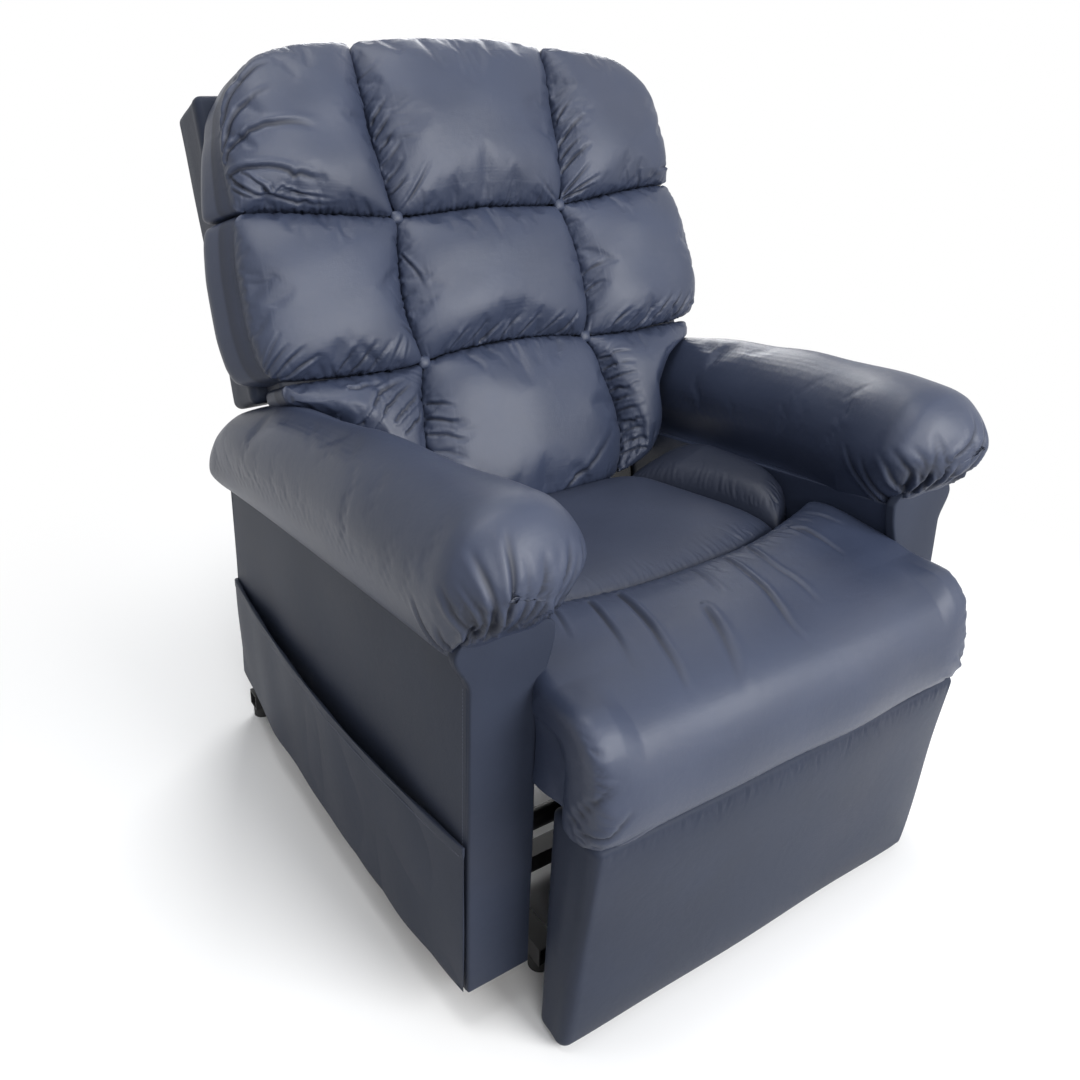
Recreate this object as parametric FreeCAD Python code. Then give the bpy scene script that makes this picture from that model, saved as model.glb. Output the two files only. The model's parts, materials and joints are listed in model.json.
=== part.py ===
"""Lift recliner chair, one STEP file per sub-part.

Millimetres, +Z up, the chair faces -Y and +X is the sitter's left. While the parts are made, y = 0 is the
front face of the arms. Each part is then moved so that the origin lies on the floor, midway along the depth.
"""
import FreeCAD, Part
import math
import os
from FreeCAD import Placement, Rotation, Vector

# ---- fits and gaps -------------------------------------------------------------------------------------
RUNNING_FIT = 0.05          # radial play of a pin in its hole
SIDE_GAP = 0.5              # side play beside a moving plate
SOFT_GAP = 2.0              # between two padded pieces
PAD_GAP = 7.0               # between an arm panel's top edge and the pad's lower outline
RAISED_PLAY = 3.0           # radial play at the pivot where the lift linkage is opened
CRUMPLE_GAP = 7.0           # between the roll and the seat cushion

# ---- overall sizes -------------------------------------------------------------------------------------
PAD_REACH = 470.0           # outermost point of an arm pad from the middle of the chair
ARM_OUTER = 427.0           # outer face of an arm
ARM_INNER = 333.0           # inner face of an arm
ARM_DEPTH = 830.0           # front face to rear face of an arm
ARM_BOTTOM = 72.0           # lower edge of the arm panels above the floor
SEAT_TOP = 500.0            # top of the seat cushion above the floor

# ---- floor base ----------------------------------------------------------------------------------------
BASE_TUBE = 30.0            # square tube of the floor base
TUBE_WALL = 2.0
GLIDE_HEIGHT = 20.0
GLIDE_RADIUS = 16.0
RAIL_OUTER = 300.0          # outer face of a side rail
RAIL_FRONT = 22.0
FRONT_TUBE_Y = 180.0
REAR_TUBE_Y = 785.0
REAR_TUBE_REACH = 432.0     # the rear tube is wider than the rails
FRONT_GLIDE_Y = 42.0
REAR_GLIDE_INSET = 17.0

# ---- lift linkage --------------------------------------------------------------------------------------
PLATE = 6.0                 # thickness of brackets, links and side plates
LINK_GAP = 3.0              # between two plates that pass each other
LINK_RADIUS = 18.0          # rounded end of a link
PIN_RADIUS = 6.0
PIN_HEAD = 2.0
PIN_HEAD_RADIUS = 10.0
REAR_LINK_FOOT = (250.0, 90.0)
REAR_LINK_HEAD = (600.0, 130.0)
FRONT_LINK_FOOT = (187.0, 89.0)
FRONT_LINK_HEAD = (480.0, 130.0)
TORSION_TUBE_RADIUS = 14.0

# ---- chair frame ---------------------------------------------------------------------------------------
CROSS_TUBE_RADIUS = 14.0
LEGREST_TUBE = (120.0, 172.0)
MIDDLE_TUBE = (452.0, 262.0)
RAIL_TOP = 400.0            # top of the wooden seat rails
RAIL_DEEP = 35.0
RAIL_THICK = 22.0
RAIL_START = -10.0          # front face of the front seat rail
SEAT_RAIL_REAR = 492.0
BACK_PIVOT = (640.0, 450.0)
BACK_PIN_RADIUS = 8.0
PLATE_EDGE = 22.0           # plate left around a pivot
BOARD = 10.0                # thickness of the arm panels
OUTER_PANEL = 8.0
ARM_RAIL = 26.0             # square wooden rails inside an arm
RAIL_LIFT = 6.0             # arm rails above the panels' lower edge
RAIL_DROP = 40.0            # top arm rail below the pad's lower edge
PAD_LINE = 554.0            # lower edge of the pad above the floor at the arm's front face
PAD_FALL = 0.11             # how steeply that edge falls towards the rear
PAD_BURY = 2.0
CROWN_SIDE = 522.0          # where the front panel's outer side begins to flare
CROWN_LINE = ((94.0 + 19.0, 570.0), (94.0 + 12.0, 586.0), (94.0 - 15.0, 596.0), (94.0 - 60.0, 598.0), (-8.0, 592.0),
              (-24.0, 572.0), (-22.0, 552.0), (-4.0, 490.0))   # from the inner face, height above the floor
CROWN_FOOT = 435.0
# y, lower edge where it leaves the line, crest, inner reach and size of each cross-section of a pad
PAD_NOSE = ((-46.0, 612.0, 722.0, 290.0, 0.72), (-34.0, 606.0, 738.0, 280.0, 0.92),
            (-8.0, 603.0, 748.0, 275.0, 1.0), (12.0, 603.0, 749.0, 276.0, 1.0))
PAD_BODY = ((40.0, 0.0, 749.0, 281.0, 1.0), (110.0, 0.0, 749.0, 296.0, 1.0), (226.0, 0.0, 745.0, 312.0, 1.0),
            (441.0, 0.0, 719.0, 330.0, 1.0), (601.0, 0.0, 683.0, 332.0, 1.0), (700.0, 0.0, 636.0, 333.0, 1.0),
            (775.0, 0.0, 585.0, 334.0, 0.97), (815.0, 4.0, 548.0, 342.0, 0.88), (827.0, 12.0, 530.0, 352.0, 0.70))
STRETCHER_LOW = 150.0
STRETCHER_HIGH = 230.0
STRETCHER_THICK = 20.0

# ---- seat ----------------------------------------------------------------------------------------------
SEAT_FRONT = -45.0
SEAT_REAR = 480.0
SEAT_ARM_GAP = 12.0
BOLSTER_INNER = 256.0
BOLSTER_RISE = 46.0
SEAT_FRONT_DROP = 10.0      # roll-off at the seat's front edge
SEAT_FRONT_SLOPE = 45.0
SEAT_REAR_SLOPE = 50.0
SEAT_REAR_DROP = 35.0
BOLSTER_LINE = ((90.0, -28.0), (200.0, -8.0), (310.0, 0.0), (460.0, -28.0))   # behind the front, from the crest
SPRING_WIRE = 1.9
SPRING_PITCH = 26.0
SPRING_SWING = 22.0
SPRING_LEAD = 2.8           # least straight wire at each end of a spring
SEAT_SPRINGS = 6
BACK_SPRINGS = 4

# ---- legrest -------------------------------------------------------------------------------------------
LEGREST_HINGE = (-100.0, 478.0)
LEGREST_HALF = 333.0
LEGREST_FACE = -84.0        # front face of the panel below the roll
LEGREST_THICK = 36.0
LEGREST_BOTTOM = 20.0
LEGREST_TOP = 351.0
COVER_SKIN = 5.0
COVER_ROUND = 4.0
ROLL_HALF = 345.0
ROLL_FRONT = -140.0
ROLL_BELLY_Z = 430.0
ROLL_TOP = 505.0
ROLL_REAR = -57.0
ROLL_CREST = -78.0          # where the roll's top turns down to its front
ROLL_END = 30.0             # length of each rounded end
ROLL_END_SIZE = 0.72
CRANK_ROOM = 30.0           # radius left free in the roll about the crank pin
CRANK_WELL = 368.0
ARM_ELBOW = (-65.0, 410.0)  # where a hinge arm passes over the front rail, (y, z)
ARM_STEP = 18.0             # how far a hinge arm stands behind the board
ARM_LOWER = 205.0
HINGE_TUBE_RADIUS = 9.0
HINGE_PLATE_OUT = 300.0     # inner face of the legrest bracket plates
CRANK_PIN = 38.0            # drop of the crank pin below the hinge

# ---- back ----------------------------------------------------------------------------------------------
RECLINE_REST = 22.0         # lean of the back at rest, degrees from upright
BACK_ORIGIN = (671.0, 941.0)   # y, z of the upper pair of buttons
PUFF_CROWN = 45.0           # front of the puffs ahead of the buttons
PUFF_REAR = -88.0
PUFF_ROUND = 34.0
BUTTON_X = 165.0
ROW_SEAM_UPPER = 3.0        # heights along the back, from the upper buttons
ROW_SEAM_LOWER = -241.0
SHOULDER_SEAM = -249.0      # lower edge of the wide part
BACK_TOP_MIDDLE = 301.0
BACK_TOP_SIDE = 256.0
BACK_BOTTOM_MIDDLE = -500.0
BACK_BOTTOM_SIDE = -455.0
WING_HALF = 446.0
WAIST_HALF = 315.0
SHELL_HALF = 430.0
SHELL_WAIST = 318.0
SHELL_TOP = 243.0
SHELL_SHOULDER = -254.0
SHELL_BOTTOM = -480.0
SHELL_FRONT = -90.0
SHELL_REAR = -200.0
SHELL_WALL = 5.0
FRAME_BOARD = 15.0          # thickness of the back rails
POST_DEEP = 20.0
POST_WIDE = 28.0
WING_BOARD = 22.0
BACK_RAIL = 38.0            # height of a back rail
RAIL_RELIEF = 3.0           # between the rails and the shell's front edge
HINGE_POST = -370.0         # height on the post where the hinge plate ends
SHANK_RADIUS = 1.5
BUTTON_RADIUS = 10.0
BUTTON_THICK = 6.0

# ---- drives --------------------------------------------------------------------------------------------
LIFT_FOOT = (180.0, 100.0)
LIFT_HEAD = (420.0, 250.0)
RECLINE_FOOT = (430.0, 320.0)
RECLINE_HEAD = (700.0, 410.0)
LEGREST_FOOT = (120.0, 212.0)
LIFT_STROKE = 86.2          # from rest; a negative stroke pulls in
RECLINE_STROKE = -52.8
LEGREST_STROKE = 51.3
LEGREST_TUBE_LENGTH = 136.0    # short enough to stay behind the front seat rail
RECLINE_LANE = 120.0
LEGREST_LANE = -120.0
DRIVE_TUBE = 18.0
DRIVE_ROD = 7.5
DRIVE_PIN = 5.0
EYE_WIDE = 16.0
EYE_WALL = 6.0
MOTOR_RADIUS = 21.0
MOTOR_LENGTH = 95.0
CRANK_TUBE = 10.0
NECK_START = 16.0           # from the foot pin to the tube, the motor and the gearbox
GEARBOX_TALL = 34.0
ROD_RESERVE = 44.0          # from the tube's end to the head pin when pulled in
ROD_GRIP = 22.0             # rod left in the tube when pushed out
BORE_REST = 4.0
LIFT_DRIFT = (2.4, 3.7)     # how far a head pin wanders from its rod's line: along it and across it
RECLINE_DRIFT = (1.6, -4.4)
LEGREST_DRIFT = (-1.0, 10.1)

# ---- power supply, pocket and hand control -------------------------------------------------------------
SUPPLY_X = (-230.0, -90.0)
SUPPLY_Y = (440.0, 500.0)
SUPPLY_TALL = 50.0
INLET_RADIUS = 9.0
INLET_LENGTH = 14.0
INLET_PLACE = (30.0, 20.0)  # from the supply's side and lower edge
POCKET_DEEP = 23.0          # inside depth of the pocket at its middle
POCKET_SKIN = 2.5
POCKET_FRONT_TOP = 305.0
POCKET_REAR_TOP = 273.0
POCKET_FLOOR = 4.0
CONTROL_THICK = 16.0
CONTROL_WIDE = 50.0
CONTROL_TALL = 165.0
CONTROL_GAP = 2.5           # between the case and the arm
ROCKER_WIDE = 16.0
ROCKER_TALL = 26.0
ROCKER_PROUD = 2.0
ROCKER_DEEP = 8.0
ROCKER_PITCH = 38.0
ROCKER_GAP = 1.0
ROCKER_PIN = 1.5
FIRST_ROCKER = 42.0         # middle of the top key below the case's top
CASE_ROUND = 4.0

# ---- values worked out from the sizes above ------------------------------------------------------------
LEAN = math.radians(RECLINE_REST)
SHELL_REACH = BACK_ORIGIN[0] + SHELL_TOP * math.sin(LEAN) - SHELL_REAR * math.cos(LEAN)
ORIGIN_Y = (ROLL_FRONT + SHELL_REACH) / 2
RAIL_Z0 = GLIDE_HEIGHT
RAIL_Z1 = GLIDE_HEIGHT + BASE_TUBE
BRACKET_X = RAIL_OUTER
REAR_LINK_X = BRACKET_X + PLATE + LINK_GAP
FRONT_LINK_X = REAR_LINK_X + PLATE + LINK_GAP
SIDE_PLATE_X = ARM_INNER - PLATE
SEAT_BASE = RAIL_TOP
LEGREST_CRANK = (LEGREST_HINGE[0], LEGREST_HINGE[1] - CRANK_PIN)
LEGREST_ARM_X = HINGE_PLATE_OUT + PLATE + SIDE_GAP * 4


# ---- building blocks -----------------------------------------------------------------------------------
def box(x0, x1, y0, y1, z0, z1):
    """A block between two corners."""
    return Part.makeBox(x1 - x0, y1 - y0, z1 - z0, Vector(x0, y0, z0))


def rod_x(x0, x1, centre, radius):
    """A cylinder along X about the point (y, z)."""
    return Part.makeCylinder(radius, x1 - x0, Vector(x0, centre[0], centre[1]), Vector(1, 0, 0))


def tube_x(x0, x1, centre, radius, wall=TUBE_WALL):
    """A round tube along X about the point (y, z)."""
    return rod_x(x0, x1, centre, radius).cut(rod_x(x0, x1, centre, radius - wall))


def square_tube(x0, x1, y0, y1, z0, z1, along):
    """A square tube that is open at the ends of the axis it runs along."""
    grow = {axis: (0.0 if axis == along else TUBE_WALL) for axis in "xyz"}
    bore = box(x0 + grow["x"], x1 - grow["x"], y0 + grow["y"], y1 - grow["y"], z0 + grow["z"], z1 - grow["z"])
    return box(x0, x1, y0, y1, z0, z1).cut(bore)


def face_of(points):
    """A flat face with straight edges between the points."""
    return Part.Face(Part.makePolygon(list(points) + [points[0]]))


def plate_x(outline, x0, x1):
    """A plate with an outline of (y, z) points between two values of x."""
    face = face_of([Vector(x0, y, z) for y, z in outline])
    return face.extrude(Vector(x1 - x0, 0, 0))


def plate_y(outline, y0, y1):
    """A plate with an outline of (x, z) points between two values of y."""
    face = face_of([Vector(x, y0, z) for x, z in outline])
    return face.extrude(Vector(0, y1 - y0, 0))


def slot_plate(x0, x1, a, b, radius):
    """A plate with rounded ends about the (y, z) points a and b."""
    length = math.hypot(b[0] - a[0], b[1] - a[1])
    ny, nz = -(b[1] - a[1]) / length * radius, (b[0] - a[0]) / length * radius
    corners = [(a[0] + ny, a[1] + nz), (b[0] + ny, b[1] + nz), (b[0] - ny, b[1] - nz), (a[0] - ny, a[1] - nz)]
    ends = [rod_x(x0, x1, a, radius), rod_x(x0, x1, b, radius)]
    return plate_x(corners, x0, x1).multiFuse(ends).removeSplitter()


def mirrored(shape):
    """The same piece on the other side of the chair."""
    return shape.mirror(Vector(0, 0, 0), Vector(1, 0, 0))


def both_sides(shape):
    """A piece of the left side and its mirror image."""
    return [shape, mirrored(shape)]


def leaned(shape):
    """Turn a piece of the back from upright (x, -forward, up) to its lean at rest."""
    place = Placement(Vector(0, *BACK_ORIGIN), Rotation(Vector(1, 0, 0), -RECLINE_REST))
    moved = shape.copy()
    moved.Placement = place.multiply(moved.Placement)
    return moved


def back_box(x0, x1, s0, s1, t0, t1):
    """An upright block of the back: s is the height along it and t is forward of the buttons."""
    return box(x0, x1, -t1, -t0, s0, s1)


def back_point(s, t):
    """The (y, z) place of a point of the back."""
    y = BACK_ORIGIN[0] + s * math.sin(LEAN) - t * math.cos(LEAN)
    return y, BACK_ORIGIN[1] + s * math.cos(LEAN) + t * math.sin(LEAN)


def rounded(shape, radius, keep_sharp):
    """Round the edges of a block, apart from those that keep_sharp picks by their middle point."""
    edges = [edge for edge in shape.Edges if not keep_sharp(edge.CenterOfMass)]
    return shape.makeFillet(radius, edges)


def save(node, *solids):
    """Write one sub-part, moved from the arms' front face to the origin."""
    moved = [solid.translated(Vector(0, -ORIGIN_Y, 0)) for solid in solids]
    shape = moved[0] if len(moved) == 1 else Part.makeCompound(moved)
    shape.exportStep(os.path.join("parts", node + ".step"))


# ---- floor base ----------------------------------------------------------------------------------------
def floor_base():
    """Rails, cross tubes, glides, link brackets and their pins."""
    half = BASE_TUBE / 2
    rear_face = REAR_TUBE_Y - half
    rail_inner = RAIL_OUTER - BASE_TUBE
    rail = square_tube(rail_inner, RAIL_OUTER, RAIL_FRONT, rear_face, RAIL_Z0, RAIL_Z1, "y")
    save("base_side_rails", *both_sides(rail))
    front = square_tube(-rail_inner, rail_inner, FRONT_TUBE_Y - half, FRONT_TUBE_Y + half, RAIL_Z0, RAIL_Z1, "x")
    rear = square_tube(-REAR_TUBE_REACH, REAR_TUBE_REACH, rear_face, rear_face + BASE_TUBE, RAIL_Z0, RAIL_Z1, "x")
    save("base_cross_tubes", front, rear)
    front_glide = Part.makeCylinder(GLIDE_RADIUS, GLIDE_HEIGHT, Vector(RAIL_OUTER - half, FRONT_GLIDE_Y, 0))
    rear_x = REAR_TUBE_REACH - REAR_GLIDE_INSET
    rear_glide = Part.makeCylinder(GLIDE_RADIUS, GLIDE_HEIGHT, Vector(rear_x, REAR_TUBE_Y, 0))
    save("floor_glides", *both_sides(front_glide), *both_sides(rear_glide))
    save("link_brackets", *both_sides(link_bracket()))
    save("base_pivot_pins", *both_sides(base_pin(REAR_LINK_FOOT, REAR_LINK_X)),
         *both_sides(base_pin(FRONT_LINK_FOOT, FRONT_LINK_X)))
    save("lift_actuator_bracket", clevis(0.0, LIFT_FOOT, (FRONT_TUBE_Y, RAIL_Z1), BASE_TUBE / 2))


def link_bracket():
    """The plate beside a rail that carries the feet of both links."""
    top = max(REAR_LINK_FOOT[1], FRONT_LINK_FOOT[1]) + LINK_RADIUS
    front = FRONT_LINK_FOOT[0] - LINK_RADIUS
    rear = REAR_LINK_FOOT[0] + LINK_RADIUS
    outline = [(front - LINK_RADIUS, RAIL_Z0), (rear + LINK_RADIUS, RAIL_Z0), (rear, top), (front, top)]
    return plate_x(outline, BRACKET_X, BRACKET_X + PLATE)


def base_pin(centre, link_x):
    """A pin from the bracket through a link, with a thin head."""
    end = link_x + PLATE + SIDE_GAP / 2
    shank = rod_x(BRACKET_X + PLATE, end, centre, PIN_RADIUS)
    return shank.fuse(rod_x(end, end + PIN_HEAD, centre, PIN_HEAD_RADIUS)).removeSplitter()


def clevis(lane, pin, root, root_radius, bored=None):
    """Two lugs and the pin between them, rising from a tube at root to the pin of an actuator."""
    inner = EYE_WIDE / 2 + SIDE_GAP
    outer = inner + PLATE
    radius = DRIVE_PIN + EYE_WALL
    lugs = [slot_plate(lane + side * inner, lane + side * outer, pin, root, radius) if side > 0
            else slot_plate(lane - outer, lane - inner, pin, root, radius) for side in (1, -1)]
    whole = rod_x(lane - outer, lane + outer, pin, DRIVE_PIN).multiFuse(lugs)
    if bored is None:
        below = box(lane - outer, lane + outer, root[0] - 5 * radius, root[0] + 5 * radius, 0, root[1])
        return whole.cut(below).removeSplitter()
    return whole.cut(rod_x(lane - outer, lane + outer, bored, root_radius)).removeSplitter()


# ---- links ---------------------------------------------------------------------------------------------
def links():
    """Rear links with their torsion tube, and front links."""
    rear = slot_plate(REAR_LINK_X, REAR_LINK_X + PLATE, REAR_LINK_FOOT, REAR_LINK_HEAD, LINK_RADIUS)
    for centre in (REAR_LINK_FOOT, REAR_LINK_HEAD):
        rear = rear.cut(rod_x(REAR_LINK_X, REAR_LINK_X + PLATE, centre, PIN_RADIUS + RUNNING_FIT))
    save("rear_lift_links", *both_sides(rear))
    middle = tuple((foot + head) / 2 for foot, head in zip(REAR_LINK_FOOT, REAR_LINK_HEAD))
    save("lift_torsion_tube", tube_x(-REAR_LINK_X, REAR_LINK_X, middle, TORSION_TUBE_RADIUS))
    front = slot_plate(FRONT_LINK_X, FRONT_LINK_X + PLATE, FRONT_LINK_FOOT, FRONT_LINK_HEAD, LINK_RADIUS)
    for centre, play in ((FRONT_LINK_FOOT, RUNNING_FIT), (FRONT_LINK_HEAD, RAISED_PLAY)):
        front = front.cut(rod_x(FRONT_LINK_X, FRONT_LINK_X + PLATE, centre, PIN_RADIUS + play))
    save("front_lift_links", *both_sides(front))


# ---- chair frame ---------------------------------------------------------------------------------------
def side_plate():
    """The steel plate under an arm: it carries the links in front and the back's pivot behind."""
    low_rear = REAR_LINK_HEAD[1] - PLATE_EDGE
    rear = BACK_PIVOT[0] + PLATE_EDGE
    front = LEGREST_TUBE[0] - 2 * PLATE_EDGE
    outline = [(front, LEGREST_TUBE[1] - PLATE_EDGE), (FRONT_LINK_HEAD[0] - PLATE_EDGE, low_rear),
               (REAR_LINK_HEAD[0] + PLATE_EDGE, low_rear), (rear, REAR_LINK_HEAD[1] + PLATE_EDGE),
               (rear, BACK_PIVOT[1] + PLATE_EDGE), (BACK_PIVOT[0] - PLATE_EDGE, BACK_PIVOT[1] + PLATE_EDGE),
               (BACK_PIVOT[0] - 2 * PLATE_EDGE, MIDDLE_TUBE[1] + 2 * PLATE_EDGE),
               (front, LEGREST_TUBE[1] + 2 * PLATE_EDGE)]
    return plate_x(outline, SIDE_PLATE_X, ARM_INNER)


def frame_pin(centre, link_x):
    """A stub pin from the side plate inwards through a link."""
    end = link_x - SIDE_GAP / 2
    shank = rod_x(end, SIDE_PLATE_X, centre, PIN_RADIUS)
    return shank.fuse(rod_x(end - PIN_HEAD, end, centre, PIN_HEAD_RADIUS)).removeSplitter()


def chair_frame():
    """Side plates, pins, tubes, clevises, rails, springs and the rear stretcher."""
    plate = side_plate()
    save("side_plate_left", plate)
    save("side_plate_right", mirrored(plate))
    back_pin = rod_x(SHELL_WAIST + SIDE_GAP, SIDE_PLATE_X, BACK_PIVOT, BACK_PIN_RADIUS)
    save("frame_pivot_pins", *both_sides(frame_pin(REAR_LINK_HEAD, REAR_LINK_X)),
         *both_sides(frame_pin(FRONT_LINK_HEAD, FRONT_LINK_X)), *both_sides(back_pin))
    tubes = [tube_x(-SIDE_PLATE_X, SIDE_PLATE_X, centre, CROSS_TUBE_RADIUS) for centre in (LEGREST_TUBE, MIDDLE_TUBE)]
    save("frame_cross_tubes", *tubes)
    save("actuator_clevises",
         clevis(0.0, LIFT_HEAD, MIDDLE_TUBE, CROSS_TUBE_RADIUS, MIDDLE_TUBE),
         clevis(RECLINE_LANE, RECLINE_FOOT, MIDDLE_TUBE, CROSS_TUBE_RADIUS, MIDDLE_TUBE),
         clevis(LEGREST_LANE, LEGREST_FOOT, LEGREST_TUBE, CROSS_TUBE_RADIUS, LEGREST_TUBE))
    save("seat_rails", *seat_rails())
    save("legrest_brackets", *both_sides(legrest_bracket()))
    stretcher_rear = ARM_DEPTH - BOARD
    save("rear_stretcher", box(-ARM_INNER, ARM_INNER, stretcher_rear - STRETCHER_THICK, stretcher_rear,
                               STRETCHER_LOW, STRETCHER_HIGH))


def seat_rails():
    """A wooden ring under the seat: front, rear and two side rails."""
    low = RAIL_TOP - RAIL_DEEP
    side_start = RAIL_START + RAIL_THICK
    front = box(-ARM_INNER, ARM_INNER, RAIL_START, side_start, low, RAIL_TOP)
    rear = box(-ARM_INNER, ARM_INNER, SEAT_RAIL_REAR - RAIL_THICK, SEAT_RAIL_REAR, low, RAIL_TOP)
    side = box(ARM_INNER - RAIL_THICK, ARM_INNER, side_start, SEAT_RAIL_REAR - RAIL_THICK, low, RAIL_TOP)
    return [front, rear] + both_sides(side)


def zigzag(start, length, swing, pitch, radius, across, along):
    """A flat zigzag wire: straight cross runs joined by half turns, from start along a direction."""
    turns = int((length - 2 * SPRING_LEAD) // pitch)
    lead = (length - turns * pitch) / 2
    edges = []
    bend = pitch / 2
    here = start
    first = start + along * lead - across * (swing - bend)
    edges.append(Part.LineSegment(here, start + along * lead).toShape())
    here = start + along * lead
    edges.append(Part.LineSegment(here, first).toShape())
    here = first
    for turn in range(turns):
        side = -1 if turn % 2 == 0 else 1
        after = here + along * pitch
        outer = here + along * bend + across * (side * bend)
        edges.append(Part.Arc(here, outer, after).toShape())
        over = 2 * (swing - bend) if turn < turns - 1 else swing - bend
        here = after - across * (side * over)
        edges.append(Part.LineSegment(after, here).toShape())
    edges.append(Part.LineSegment(here, start + along * length).toShape())
    path = Part.Wire(edges)
    ring = Part.Wire(Part.makeCircle(radius, start, along))
    return path.makePipeShell([ring], True, False, 2)


def springs():
    """Zigzag springs under the seat, from the front rail to the rear rail."""
    start_y = RAIL_START + RAIL_THICK
    length = SEAT_RAIL_REAR - RAIL_THICK - start_y
    gap = 2 * (ARM_INNER - RAIL_THICK) / SEAT_SPRINGS
    height = RAIL_TOP - 2 * TUBE_WALL - SPRING_WIRE
    wires = []
    for number in range(SEAT_SPRINGS):
        x = (number - (SEAT_SPRINGS - 1) / 2) * gap
        wires.append(zigzag(Vector(x, start_y, height), length, SPRING_SWING, SPRING_PITCH, SPRING_WIRE,
                            Vector(1, 0, 0), Vector(0, 1, 0)))
    save("seat_springs", *wires)


def legrest_bracket():
    """The plate that reaches forward from the front rail, under the cushion, to the legrest hinge."""
    y, z = LEGREST_HINGE
    low, high = RAIL_TOP - RAIL_DEEP, RAIL_TOP - SIDE_GAP
    neck = SEAT_FRONT - CRUMPLE_GAP / 2
    outline = [(RAIL_START, low), (RAIL_START, high), (neck, high), (y + LINK_RADIUS, z), (y, z + LINK_RADIUS),
               (y - LINK_RADIUS, z), (y, z - LINK_RADIUS), (neck - LINK_RADIUS, low)]
    plate = plate_x(outline, HINGE_PLATE_OUT, HINGE_PLATE_OUT + PLATE)
    return plate.cut(rod_x(HINGE_PLATE_OUT, HINGE_PLATE_OUT + PLATE, LEGREST_HINGE, HINGE_TUBE_RADIUS + RUNNING_FIT))


def seat_cushion():
    """The seat pad: a flat middle between two raised bolsters."""
    half = ARM_INNER - SEAT_ARM_GAP
    front = [(SEAT_FRONT, SEAT_BASE), (SEAT_FRONT, SEAT_TOP - SEAT_FRONT_DROP)]
    rear = [(SEAT_REAR - SEAT_REAR_SLOPE, SEAT_TOP), (SEAT_REAR, SEAT_TOP - SEAT_REAR_DROP), (SEAT_REAR, SEAT_BASE)]
    middle = front + [(SEAT_FRONT + SEAT_FRONT_SLOPE, SEAT_TOP)] + rear
    crest = SEAT_TOP + BOLSTER_RISE
    bolster = front + [(SEAT_FRONT + y, crest + z) for y, z in BOLSTER_LINE] + rear
    pad = plate_x(middle, -BOLSTER_INNER, BOLSTER_INNER)
    ends = both_sides(plate_x(bolster, BOLSTER_INNER, half))
    save("seat_cushion", pad.multiFuse(ends).removeSplitter())


# ---- arms ----------------------------------------------------------------------------------------------
def pad_underside(y):
    """Height of the pad's lower edge along the outer panel."""
    return PAD_LINE - PAD_FALL * y


def crown_outline():
    """The front panel of the left arm in (x, z): upright sides and a flared, crowned top."""
    crown = [(ARM_INNER + x, z) for x, z in CROWN_LINE]
    sides = [(ARM_INNER, ARM_BOTTOM), (ARM_OUTER, ARM_BOTTOM), (ARM_OUTER, CROWN_SIDE)]
    return sides + crown + [(ARM_INNER, CROWN_FOOT)]


def pad_section(y, low, crest, inner, shrink=1.0):
    """One closed outline of the pad at y, drawn anticlockwise from the lower outer corner."""
    middle = (inner + PAD_REACH) / 2
    centre_z = (low + crest) / 2
    belly = low + 0.42 * (crest - low)
    raw = [(ARM_OUTER - 2, low), (ARM_OUTER + 26, low + 0.14 * (crest - low)), (PAD_REACH, belly),
           (PAD_REACH - 10, low + 0.70 * (crest - low)), (PAD_REACH - 42, low + 0.92 * (crest - low)),
           (middle + 5, crest), (inner + 48, low + 0.90 * (crest - low)), (inner + 8, low + 0.66 * (crest - low)),
           (inner, low + 0.40 * (crest - low)), (max(inner + 20, ARM_INNER - 20), low + 0.12 * (crest - low)),
           (ARM_INNER + 4, low), ((ARM_INNER + ARM_OUTER) / 2, low)]
    points = [Vector(middle + (x - middle) * shrink, y, centre_z + (z - centre_z) * shrink) for x, z in raw]
    curve = Part.BSplineCurve()
    curve.interpolate(Points=points, PeriodicFlag=True)
    return Part.Wire(curve.toShape())


def arm_pad():
    """The padded top of the left arm, lofted through sections from its nose to its rounded rear."""
    body = [(y, pad_underside(y) + lift, crest, inner, shrink) for y, lift, crest, inner, shrink in PAD_BODY]
    wires = [pad_section(*station) for station in list(PAD_NOSE) + body]
    return Part.makeLoft(wires, True, True)


def arm(side):
    """All the pieces of one arm; side is left or right."""
    turn = mirrored if side == "right" else (lambda shape: shape)
    front = BOARD + 2 * TUBE_WALL
    inner, outer = ARM_INNER + BOARD, ARM_OUTER - OUTER_PANEL
    low, high = ARM_BOTTOM + RAIL_LIFT, pad_underside(ARM_DEPTH) - RAIL_DROP
    rail = ARM_RAIL
    rear = ARM_DEPTH - BOARD
    frame = [box(inner, outer, front, rear, low, low + rail), box(inner, outer, front, rear, high, high + rail),
             box(inner, outer, front, front + rail, low + rail, high),
             box(inner, outer, rear - rail, rear, low + rail, high),
             box(inner, outer, rear, ARM_DEPTH, low, high + rail)]
    save("arm_frame_" + side, *[turn(solid) for solid in frame])
    nose = front + rail
    panel = [(front, low), (ARM_DEPTH, low), (ARM_DEPTH, pad_underside(ARM_DEPTH) - PAD_GAP),
             (nose, pad_underside(nose) - PAD_GAP), (front, pad_underside(nose) - PAD_GAP)]
    save("arm_inner_panel_" + side, turn(plate_x(panel, ARM_INNER, inner)))
    skin = [(y, z) if z > low else (y, ARM_BOTTOM) for y, z in panel]
    save("arm_outer_panel_" + side, turn(plate_x(skin, outer, ARM_OUTER)))
    save("arm_front_panel_" + side, turn(plate_y(crown_outline(), 0, BOARD)))
    save("arm_pad_" + side, turn(arm_pad()))


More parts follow.
